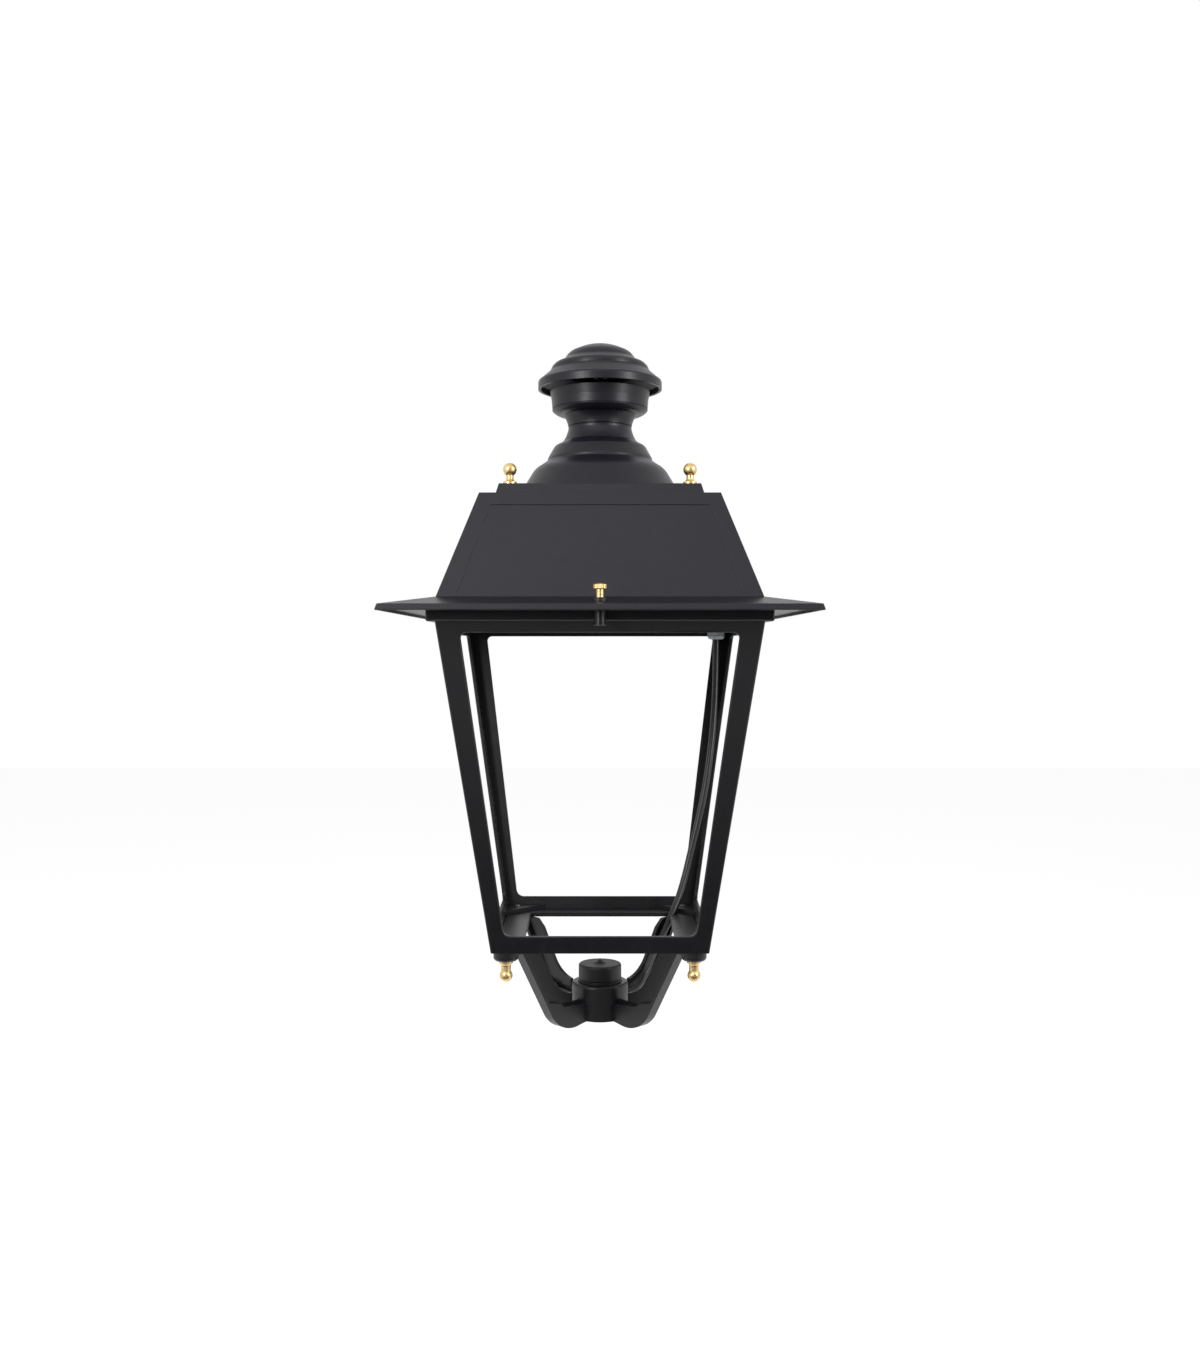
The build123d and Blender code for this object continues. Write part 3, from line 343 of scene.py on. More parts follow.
@dataclass(frozen=True)
class BareMetal:
    """Zinc-plated steel, galvanised sheet or blasted aluminium, with the grain of how it was made."""

    name: str
    colour: str
    stained: str
    roughness: float
    grain_mm: float
    depth_mm: float = 0.01
    stretch: Point | None = None

    def build(self) -> bpy.types.Material:
        """Returns the material: two tones in patches, and a relief of its grain."""
        metal = Material(self.name)
        grain = metal.noise(self.grain_mm, 3.0, self.stretch)
        patches = metal.spread(metal.noise(14.0, 3.0), 0.0, 1.0)
        return metal.surface(
            {"Metallic": 1.0},
            {
                "Base Color": metal.mixed(patches, self.colour, self.stained),
                "Roughness": metal.spread(grain, self.roughness - 0.07, self.roughness + 0.08),
                "Normal": metal.bump(grain, self.depth_mm, 0.2),
            },
        )


@dataclass(frozen=True)
class Moulded:
    """Moulded plastic or rubber: one colour, even, with the fine spark-eroded texture of its mould."""

    name: str
    colour: str
    shade: str
    roughness: float
    texture_mm: float = 0.5
    depth_mm: float = 0.01
    sheen: float = 0.0
    specular: float = 0.5

    def build(self) -> bpy.types.Material:
        """Returns the material: slight changes of tone, and the mould's texture."""
        plastic = Material(self.name)
        texture = plastic.noise(self.texture_mm, 2.0)
        tone = plastic.spread(plastic.noise(20.0, 2.0), 0.0, 1.0)
        return plastic.surface(
            {"Sheen Weight": self.sheen, "Specular IOR Level": self.specular},
            {
                "Base Color": plastic.mixed(tone, self.colour, self.shade),
                "Roughness": plastic.spread(texture, self.roughness - 0.06, self.roughness + 0.06),
                "Normal": plastic.bump(texture, self.depth_mm, 0.2),
            },
        )


@dataclass(frozen=True)
class Clear:
    """Float glass or moulded acrylic: clear, with the last trace of waviness."""

    name: str
    colour: str
    ior: float
    roughness: float

    def build(self) -> bpy.types.Material:
        """Returns the material, with a slow wave in its surface."""
        clear = Material(self.name)
        return clear.surface(
            {
                "Base Color": linear(self.colour), "Transmission Weight": 1.0, "IOR": self.ior,
                "Roughness": self.roughness,
            },
            {"Normal": clear.bump(clear.noise(30.0, 1.0), 0.01)},
        )


@dataclass(frozen=True)
class Finishes:
    """Every finish of the lantern, built once."""

    cage: bpy.types.Material = field(
        default_factory=lambda: PowderCoat("black_powder_coat", "#121215", "#151518", 0.37).build()
    )
    roof: bpy.types.Material = field(
        default_factory=lambda: PowderCoat(
            "roof_powder_coat", "#12111a", "#14131b", 0.38, peel_depth_mm=0.028, specular=0.35
        ).build()
    )
    brass: bpy.types.Material = field(default_factory=lambda: LacqueredBrass().build())
    zinc: bpy.types.Material = field(
        default_factory=lambda: BareMetal("zinc_plated_steel", "#b4b6b8", "#9c9ea0", 0.32, 0.6).build()
    )
    sheet: bpy.types.Material = field(
        # Zinc crystals on galvanised sheet are about 8 mm across.
        default_factory=lambda: BareMetal("galvanised_sheet", "#b9bcbe", "#989da0", 0.42, 8.0).build()
    )
    sink: bpy.types.Material = field(
        default_factory=lambda: BareMetal("blasted_aluminium", "#c3c5c7", "#b2b4b7", 0.5, 0.5, 0.03).build()
    )
    cap: bpy.types.Material = field(
        default_factory=lambda: Moulded(
            "black_nylon_cap", "#141415", "#171718", 0.45, texture_mm=0.7, depth_mm=0.02, specular=0.36
        ).build()
    )
    washer: bpy.types.Material = field(
        default_factory=lambda: Moulded("black_nylon_washer", "#101011", "#151516", 0.5).build()
    )
    seal: bpy.types.Material = field(
        # Pores of cellular rubber, drawn at 1.2 mm.
        default_factory=lambda: Moulded("cellular_rubber", "#1a1a1a", "#222222", 0.85, 1.2, 0.08, 0.2).build()
    )
    sheath: bpy.types.Material = field(
        default_factory=lambda: Moulded("rubber_cable_sheath", "#131314", "#1a1a1b", 0.4, 0.6, 0.01).build()
    )
    gland: bpy.types.Material = field(
        default_factory=lambda: Moulded("light_grey_nylon", "#b9bdbf", "#aeb3b5", 0.4).build()
    )
    case: bpy.types.Material = field(
        default_factory=lambda: Moulded("white_abs_case", "#dfdfdb", "#d6d6d1", 0.45, 0.8, 0.02).build()
    )
    terminal: bpy.types.Material = field(
        default_factory=lambda: Moulded("pale_grey_polyamide", "#c9cccc", "#bfc2c2", 0.4).build()
    )
    board: bpy.types.Material = field(
        default_factory=lambda: Moulded("white_solder_mask", "#eceeea", "#e2e5e0", 0.35, 0.3).build()
    )
    phosphor: bpy.types.Material = field(
        default_factory=lambda: Moulded("led_phosphor", "#e9cf63", "#dfc04c", 0.3, 0.2).build()
    )
    glass: bpy.types.Material = field(
        default_factory=lambda: Clear("toughened_glass", "#f2f7f4", 1.5, 0.0).build()
    )
    acrylic: bpy.types.Material = field(
        default_factory=lambda: Clear("clear_acrylic", "#fafcfc", 1.49, 0.03).build()
    )


# ---- turned pieces ----
class Corner(Enum):
    """How a turned outline's corners are finished."""

    TURNED = 0.25
    MOULDED = 0.5


@dataclass(frozen=True)
class Outline:
    """Half section of a turned piece in (radius, height), from a start through straight and curved steps."""

    start: Point
    steps: tuple[Step, ...]
    corner: Corner
    arc_points: int = 9

    def arc(self, start: Point, through: Point, end: Point) -> list[Point]:
        """Walks along the circle through three points.

        Args:
            start: Where the arc starts.
            through: A point on it.
            end: Where it ends.

        Returns:
            Points after the start, with the end.
        """
        (ax, ay), (bx, by), (cx, cy) = start, through, end
        twice = 2 * (ax * (by - cy) + bx * (cy - ay) + cx * (ay - by))
        a2, b2, c2 = ax * ax + ay * ay, bx * bx + by * by, cx * cx + cy * cy
        mx = (a2 * (by - cy) + b2 * (cy - ay) + c2 * (ay - by)) / twice
        my = (a2 * (cx - bx) + b2 * (ax - cx) + c2 * (bx - ax)) / twice
        first, middle, last = (math.atan2(y - my, x - mx) for x, y in (start, through, end))
        turn = (last - first) % (2 * math.pi)
        if (middle - first) % (2 * math.pi) > turn:
            turn -= 2 * math.pi
        r = math.hypot(ax - mx, ay - my)
        angles = [first + turn * i / self.arc_points for i in range(1, self.arc_points)]
        return [(mx + r * math.cos(t), my + r * math.sin(t)) for t in angles] + [end]

    def raw(self) -> list[tuple[Point, bool]]:
        """Returns the outline's points, each with whether it is a true corner."""
        points: list[tuple[Point, bool]] = [(self.start, True)]
        for step in self.steps:
            if isinstance(step[0], tuple):
                walked = self.arc(points[-1][0], *step)
                points += [(point, False) for point in walked[:-1]] + [(walked[-1], True)]
            else:
                points.append((step, True))
        return points

    def points(self) -> list[Point]:
        """Returns the outline with its sharp corners rounded by the size of its Corner."""
        raw = self.raw()
        smooth = [raw[0][0]]
        for (before, _), (at, sharp), (after, _) in zip(raw, raw[1:], raw[2:]):
            into, out = Vector(at) - Vector(before), Vector(after) - Vector(at)
            if not sharp or into.length < 1e-6 or out.length < 1e-6 or into.angle(out) < SOFT_TURN:
                smooth.append(at)
                continue
            cut = min(self.corner.value, CORNER_SHARE * into.length, CORNER_SHARE * out.length)
            low, high = Vector(at) - into.normalized() * cut, Vector(at) + out.normalized() * cut
            for share in (0.0, 0.25, 0.5, 0.75, 1.0):
                mixed = low.lerp(Vector(at), share).lerp(Vector(at).lerp(high, share), share)
                smooth.append((mixed.x, mixed.y))
        return smooth + [raw[-1][0]]


@dataclass(frozen=True)
class Flutes:
    """Grooves or knurling round a turned piece, between two heights."""

    count: int = 0
    depth: float = 0.0
    low: float = 0.0
    high: float = 0.0


class Lathe:
    """Geometry Nodes tree that turns an outline about the axis and copies it to a square's corners."""

    INPUTS = {
        "Sides": ("NodeSocketInt", 96),
        "Copies": ("NodeSocketInt", 1),
        "Corner Distance": ("NodeSocketFloat", 0.0),
        "Place": ("NodeSocketVector", (0.0, 0.0, 0.0)),
        "Flute Count": ("NodeSocketInt", 0),
        "Flute Depth": ("NodeSocketFloat", 0.0),
        "Flute Low": ("NodeSocketFloat", 0.0),
        "Flute High": ("NodeSocketFloat", 0.0),
        "Finish": ("NodeSocketMaterial", None),
    }

    def __init__(self) -> None:
        """Builds the tree once, for every turned piece."""
        self.tree = bpy.data.node_groups.new("turned_piece", "GeometryNodeTree")
        self.sockets: dict[str, str] = {}
        face = self.tree.interface
        face.new_socket("Outline", in_out="INPUT", socket_type="NodeSocketGeometry")
        for name, (kind, value) in self.INPUTS.items():
            socket = face.new_socket(name, in_out="INPUT", socket_type=kind)
            if value is not None:
                socket.default_value = value
            self.sockets[name] = socket.identifier
        face.new_socket("Piece", in_out="OUTPUT", socket_type="NodeSocketGeometry")
        self.given = add_node(self.tree, "NodeGroupInput").outputs
        self.connect()

    def maths(
        self, operation: str, first: bpy.types.NodeSocket | float, second: bpy.types.NodeSocket | float = 0.0
    ) -> bpy.types.NodeSocket:
        """Adds a sum.

        Args:
            operation: What it does.
            first: Its first term.
            second: Its second term.

        Returns:
            The result.
        """
        node = add_node(self.tree, "ShaderNodeMath", {"operation": operation})
        for i, term in enumerate((first, second)):
            if isinstance(term, (int, float)):
                node.inputs[i].default_value = term
            else:
                self.tree.links.new(term, node.inputs[i])
        return node.outputs[0]

    def turned_position(self, rows: bpy.types.NodeSocket) -> bpy.types.NodeSocket:
        """Works out where each grid point lies once its outline point is turned.

        Args:
            rows: How many points the outline has.

        Returns:
            The position.
        """
        index = add_node(self.tree, "GeometryNodeInputIndex").outputs[0]
        column = self.maths("FLOOR", self.maths("DIVIDE", self.maths("ADD", index, 0.5), rows))
        row = self.maths("SUBTRACT", index, self.maths("MULTIPLY", column, rows))
        here = add_node(self.tree, "GeometryNodeInputPosition").outputs[0]
        sample = add_node(
            self.tree, "GeometryNodeSampleIndex", {"data_type": "FLOAT_VECTOR", "domain": "POINT"},
            links={"Geometry": self.given["Outline"], "Value": here, "Index": row},
        ).outputs[0]
        split = add_node(self.tree, "ShaderNodeSeparateXYZ", links={0: sample}).outputs
        angle = self.maths("DIVIDE", self.maths("MULTIPLY", column, 2 * math.pi), self.given["Sides"])
        above = self.maths("GREATER_THAN", split["Z"], self.given["Flute Low"])
        below = self.maths("LESS_THAN", split["Z"], self.given["Flute High"])
        wave = self.maths("COSINE", self.maths("MULTIPLY", angle, self.given["Flute Count"]))
        dip = self.maths("MULTIPLY", self.maths("SUBTRACT", 1.0, wave), self.maths("MULTIPLY", above, below))
        dip = self.maths("MULTIPLY", dip, self.maths("MULTIPLY", self.given["Flute Depth"], 0.5))
        radius = self.maths("MAXIMUM", self.maths("SUBTRACT", split["X"], dip), 0.0)
        return add_node(
            self.tree, "ShaderNodeCombineXYZ",
            links={
                "X": self.maths("MULTIPLY", radius, self.maths("COSINE", angle)),
                "Y": self.maths("MULTIPLY", radius, self.maths("SINE", angle)),
                "Z": split["Z"],
            },
        ).outputs[0]

    def corners(self) -> bpy.types.NodeSocket:
        """Returns the points where copies stand: a square's corners, or one point on the axis."""
        index = add_node(self.tree, "GeometryNodeInputIndex").outputs[0]
        angle = self.maths("ADD", self.maths("MULTIPLY", index, math.pi / 2), math.pi / 4)
        reach = self.maths("MULTIPLY", self.given["Corner Distance"], math.sqrt(2))
        at = add_node(
            self.tree, "ShaderNodeCombineXYZ",
            links={
                "X": self.maths("MULTIPLY", reach, self.maths("COSINE", angle)),
                "Y": self.maths("MULTIPLY", reach, self.maths("SINE", angle)),
            },
        ).outputs[0]
        moved = add_node(
            self.tree, "ShaderNodeVectorMath", {"operation": "ADD"}, links={0: at, 1: self.given["Place"]}
        ).outputs[0]
        return add_node(
            self.tree, "GeometryNodePoints", links={"Count": self.given["Copies"], "Position": moved}
        ).outputs[0]

    def connect(self) -> None:
        """Links the tree: a grid, turned, merged, smoothed, copied, made real and given its finish."""
        size = add_node(self.tree, "GeometryNodeAttributeDomainSize", links={0: self.given["Outline"]})
        rows = size.outputs["Point Count"]
        grid = add_node(
            self.tree, "GeometryNodeMeshGrid",
            links={"Vertices X": self.maths("ADD", self.given["Sides"], 1.0), "Vertices Y": rows},
        ).outputs[0]
        shaped = add_node(
            self.tree, "GeometryNodeSetPosition",
            links={"Geometry": grid, "Position": self.turned_position(rows)},
        ).outputs[0]
        merged = add_node(
            self.tree, "GeometryNodeMergeByDistance", values={"Distance": SEAM_MM * MM},
            links={"Geometry": shaped},
        ).outputs[0]
        fold = add_node(self.tree, "GeometryNodeInputMeshEdgeAngle").outputs["Unsigned Angle"]
        creased = add_node(
            self.tree, "GeometryNodeSetShadeSmooth", {"domain": "EDGE"}, {"Shade Smooth": False},
            {"Geometry": merged, "Selection": self.maths("GREATER_THAN", fold, CREASE)},
        ).outputs[0]
        copies = add_node(
            self.tree, "GeometryNodeInstanceOnPoints", links={"Points": self.corners(), "Instance": creased}
        ).outputs[0]
        real = add_node(self.tree, "GeometryNodeRealizeInstances", links={"Geometry": copies}).outputs[0]
        done = add_node(
            self.tree, "GeometryNodeSetMaterial", links={"Geometry": real, "Material": self.given["Finish"]}
        ).outputs[0]
        add_node(self.tree, "NodeGroupOutput", links={0: done})


@dataclass(frozen=True)
class Turned:
    """One turned piece, or a set of them on a square's corners."""

    name: str
    outline: Outline
    finish: bpy.types.Material
    nodes: tuple[str, ...]
    body: str
    slot: str
    sides: int = 96
    copies: int = 1
    corner_distance: float = 0.0
    place: Spot = (0.0, 0.0, 0.0)
    flutes: Flutes = Flutes()

    def build(self, lathe: Lathe) -> bpy.types.Object:
        """Makes the piece on the lathe tree, and lets it stand for its CAD nodes.

        Args:
            lathe: The shared tree.

        Returns:
            The piece.
        """
        mesh = bpy.data.meshes.new(self.name)
        mesh.from_pydata([(r * MM, 0.0, z * MM) for r, z in self.outline.points()], [], [])
        obj = new_object(self.name, mesh)
        modifier = obj.modifiers.new("turned", "NODES")
        modifier.node_group = lathe.tree
        settings = {
            "Sides": self.sides,
            "Copies": self.copies,
            "Corner Distance": self.corner_distance * MM,
            "Place": tuple(c * MM for c in self.place),
            "Flute Count": self.flutes.count,
            "Flute Depth": self.flutes.depth * MM,
            "Flute Low": self.flutes.low * MM,
            "Flute High": self.flutes.high * MM,
            "Finish": self.finish,
        }
        for name, value in settings.items():
            modifier[lathe.sockets[name]] = value
        baked(obj)
        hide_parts(*self.nodes)
        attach(obj, self.body)
        LOG.info("%s: %d faces, %s", self.name, len(obj.data.polygons), self.finish.name)
        return obj


def ball_cap(r: float, low: float, rise: float) -> tuple[Point, Point]:
    """Curved step from a rim to the axis.

    Args:
        r: The rim's radius.
        low: The rim's height.
        rise: How much higher the cap's middle is.

    Returns:
        A point on the way, and the middle.
    """
    ball = (r * r + rise * rise) / (2 * rise)
    drop = ball - math.copysign(math.sqrt(ball**2 - r * r / 4), rise)
    return (r / 2, low + rise - drop), (0.0, low + rise)


# ---- sub-assemblies ----
@dataclass
class Chimney:
    """Plate and stepped bell, cup and domed hat on the roof, with the rod that ties them."""

    frame: dict
    finishes: Finishes
    neck_z: float = 647.0
    cup_rim_z: float = 686.0
    neck_r: float = 33.6
    hat_rim_r: float = 67.9
    hat_rim_z: float = 688.0
    hat_top_z: float = 738.2
    rod_r: float = 4.0

    def cup(self) -> Turned:
        """Returns the cup: a plain band over a concave foot."""
        neck, rim, bore = self.neck_z, self.cup_rim_z, self.rod_r + 0.3
        outline = Outline(
            (bore, neck),
            (
                (self.neck_r, neck), (self.neck_r, neck + 0.6), (35.0, neck + 0.6),
                ((36.8, 654.2), (40.4, 660.0)),
                ((48.4, 661.7), (52.6, 665.4)), (51.6, 665.8), (51.6, 666.6), (52.4, 666.8), (53.1, 676.0),
                (54.8, rim), (51.8, rim), (50.2, 676.0), (49.4, 669.4), ((46.5, 666.0), (41.0, 663.8)),
                ((35.6, 659.4), (32.4, neck + 5.5)), (bore, neck + 5.5), (bore, neck),
            ),
            Corner.TURNED,
        )
        return Turned(
            "chimney_cup_turned", outline, self.finishes.roof, ("chimney_cup",), "roof", "roof_paint",
            sides=128,
        )

    def hat(self) -> Turned:
        """Returns the hat: rim, flare, three ridges and dome, with a hollow underside and the rod's boss."""
        rim, low = self.hat_rim_r, self.hat_rim_z
        side_r, side_z = 27.5, 731.7
        bore = self.rod_r + 0.05
        outline = Outline(
            (rim, low),
            (
                (rim, 695.4), ((67.2, 697.2), (65.6, 698.4)), (54.8, 707.6),
                (54.4, 709.0), (53.5, 709.2), (53.4, 711.3),
                (52.5, 711.5), (52.3, 713.3), (51.4, 713.5), ((49.7, 715.8), (45.9, 717.4)), (38.9, 721.6),
                (38.0, 722.8), ((34.8, 727.3), (side_r, side_z)),
                ball_cap(side_r, side_z, self.hat_top_z - side_z),
                (0, 728.0), (bore, 728.0), (bore, 702.0), (9.0, 702.0), (9.0, 733.0),
                ((21.0, 730.8), (28.0, 727.4)), ((32.4, 723.2), (34.0, 718.2)), (37.4, 718.2),
                ((44.6, 714.4), (48.4, 710.4)), (50.6, 706.8), (rim - 3, 694.6), (rim - 3, low), (rim, low),
            ),
            Corner.TURNED,
        )
        return Turned(
            "chimney_hat_turned", outline, self.finishes.roof, ("chimney_hat",), "roof", "roof_paint",
            sides=128,
        )

    def build(self, lathe: Lathe) -> None:
        """Makes the cup and the hat, and dresses the bell, rod, nuts and washer.

        Args:
            lathe: The tree for turned pieces.
        """
        self.cup().build(lathe)
        self.hat().build(lathe)
        dress(self.frame, "chimney_base", self.finishes.roof)
        for node in ("chimney_rod", "chimney_rod_nuts", "chimney_washer"):
            dress(self.frame, node, self.finishes.zinc)


@dataclass(frozen=True)
class BallNut:
    """Turned brass nut: foot, waist and ball, in one size for the roof and one for the yoke."""

    ball_r: float
    neck_r: float
    seat_r: float
    bore_r: float
    ball_h: float = 15.2
    foot_h: float = 2.4
    neck_h: float = 6.0

    def outline(self, seat_z: float, up: int) -> Outline:
        """Draws the nut.

        Args:
            seat_z: Height of its seat.
            up: 1 if it points up, -1 if it hangs.

        Returns:
            Its half section from the stud's hole outwards and up to its pole.
        """
        ball_low = self.ball_h - math.sqrt(self.ball_r**2 - self.neck_r**2)

        def at(r: float, height: float) -> Point:
            """Returns a point at a height above the seat."""
            return r, seat_z + up * height

        waist = at(self.neck_r + 0.3 * (self.seat_r - self.neck_r), 3.7)
        return Outline(
            at(self.bore_r, 0.0),
            (
                at(self.seat_r, 0.0), at(self.seat_r, self.foot_h), (waist, at(self.neck_r, self.neck_h)),
                at(self.neck_r, ball_low), (at(self.ball_r, self.ball_h), at(0.0, self.ball_h + self.ball_r)),
            ),
            Corner.TURNED,
            14,
        )


@dataclass
class BallNuts:
    """The eight turned brass nuts: four on the chimney's plate, four under the yoke's pads."""

    finishes: Finishes
    roof_at: float = 92.9
    roof_z: float = 572.7
    yoke_at: float = 96.6
    yoke_z: float = 83.0

    def build(self, lathe: Lathe) -> None:
        """Makes both sets of four.

        Args:
            lathe: The tree for turned pieces.
        """
        roof = BallNut(7.0, 3.7, 7.1, 2.55).outline(self.roof_z, 1)
        yoke = BallNut(6.7, 5.0, 7.15, 3.05).outline(self.yoke_z, -1)
        for node, body, outline, distance in (
            ("roof_ball_nuts", "roof", roof, self.roof_at), ("yoke_ball_nuts", "frame", yoke, self.yoke_at)
        ):
            Turned(
                node + "_turned", outline, self.finishes.brass, (node,), body, "polished_brass", sides=40,
                copies=4, corner_distance=distance,
            ).build(lathe)


@dataclass
class Latch:
    """Brass thumbscrew with a knurled head, its retaining ring, and the washer on the brim."""

    frame: dict
    finishes: Finishes
    screw_y: float = -188.0
    shank_r: float = 3.85
    head_r: float = 6.6
    head_z: float = 460.5
    head_top_z: float = 465.0
    dome_top_z: float = 466.5
    shank_low_z: float = 433.6

    def thumbscrew(self) -> Turned:
        """Returns the screw: shank with the ring's groove, knurled rim and a low domed top."""
        r, low, top = self.head_r, self.head_z, self.head_top_z
        outline = Outline(
            (0.0, self.shank_low_z),
            (
                (self.shank_r - 0.8, self.shank_low_z), (self.shank_r, self.shank_low_z + 0.8),
                (self.shank_r, 441.15),
                (3.25, 441.15), (3.25, 442.05), (self.shank_r, 442.05), (self.shank_r, low), (r - 0.4, low),
                (r, low + 0.4), (r, low + 1.6), (r, low + 2.9), (r, top - 0.4), (r - 0.4, top),
                ball_cap(r - 0.4, top, self.dome_top_z - top),
            ),
            Corner.TURNED,
        )
        return Turned(
            "thumbscrew_turned", outline, self.finishes.brass, ("thumbscrew",), "thumbscrew",
            "polished_brass", sides=180, place=(0.0, self.screw_y, 0.0),
            flutes=Flutes(30, 0.2, low + 0.3, top - 0.3),
        )

    def build(self, lathe: Lathe) -> None:
        """Makes the screw and dresses the ring and the washer.

        Args:
            lathe: The tree for turned pieces.
        """
        self.thumbscrew().build(lathe)
        dress(self.frame, "retaining_ring", self.finishes.zinc)
        dress(self.frame, "screw_grommet", self.finishes.washer)


@dataclass
class Roof:
    """Brim, slopes and flat top in one casting, with the hinges' straps and the studs in it."""

    frame: dict
    finishes: Finishes

    def build(self) -> None:
        """Dresses the roof's pieces."""
        dress(self.frame, "roof_shell", self.finishes.roof)
        dress(self.frame, "hinge_leaves", self.finishes.cage)
        for node in ("leaf_screws", "roof_studs", "roof_stud_nuts"):
            dress(self.frame, node, self.finishes.zinc)


@dataclass
class Cage:
    """Tapered cage, crown, base plate and what clamps them."""

    frame: dict
    finishes: Finishes

    def build(self) -> None:
        """Dresses the cage's pieces."""
        for node in ("frame_casting", "crown_ring", "base_plate"):
            dress(self.frame, node, self.finishes.cage)
        for node in ("base_screws", "yoke_studs", "hinge_pins"):
            dress(self.frame, node, self.finishes.zinc)
        dress(self.frame, "roof_gasket", self.finishes.seal)


@dataclass
class Yoke:
    """Four ribbed legs on a threaded hub, with the hub's cap."""

    frame: dict
    finishes: Finishes
    cap_r: float = 23.4
    cap_low_z: float = 39.0
    cap_top_z: float = 58.2
    tip_z: float = 62.6
    tip_r: float = 7.7
    cavity_r: float = 14.0

    def cap(self) -> Turned:
        """Returns the cap: a skirt, a bead, a soft shoulder and a small cone on top."""
        r, low, top = self.cap_r, self.cap_low_z, self.cap_top_z
        plug = self.cavity_r - 0.05
        outline = Outline(
            (0.0, self.tip_z),
            (
                (self.tip_r, top), (r - 2.5, top), ((r - 0.7, top - 0.7), (r, top - 2.5)), (r, low + 3),
                (r - 0.7, low + 2.4), (r - 0.7, low + 1.6), (r + 0.9, low + 1.0), (r + 0.9, low), (plug, low),
                (plug, low - 5), (plug - 2.5, low - 5), (plug - 2.5, top - 4), (0.0, top - 4),
            ),
            Corner.MOULDED,
        )
        return Turned("hub_cap_turned", outline, self.finishes.cap, ("hub_cap",), "frame", "cap_plastic")

    def build(self, lathe: Lathe) -> None:
        """Makes the cap and dresses the casting and its lock screws.

        Args:
            lathe: The tree for turned pieces.
        """
        self.cap().build(lathe)
        dress(self.frame, "yoke_casting", self.finishes.cage)
        dress(self.frame, "hub_lock_screws", self.finishes.zinc)


@dataclass
class LightUnit:
    """Tray across the crown with the light unit, its driver and its terminals."""

    frame: dict
    finishes: Finishes

    def build(self) -> None:
        """Dresses every piece on the tray."""
        looks = self.finishes
        paints = {
            "gear_tray": looks.sheet,
            "led_heatsink": looks.sink,
            "led_board": looks.board,
            "led_chips": looks.phosphor,
            "lens_array": looks.acrylic,
            "optic_glass": looks.glass,
            "optic_gasket": looks.seal,
            "optic_bezel": looks.cage,
            "led_driver": looks.case,
            "surge_protector": looks.case,
            "terminal_block": looks.terminal,
            "gland_body": looks.gland,
            "gland_locknut": looks.gland,
            "tray_screws": looks.zinc,
            "bezel_screws": looks.zinc,
            "driver_screws": looks.zinc,
        }
        for node, paint in paints.items():
            dress(self.frame, node, paint)


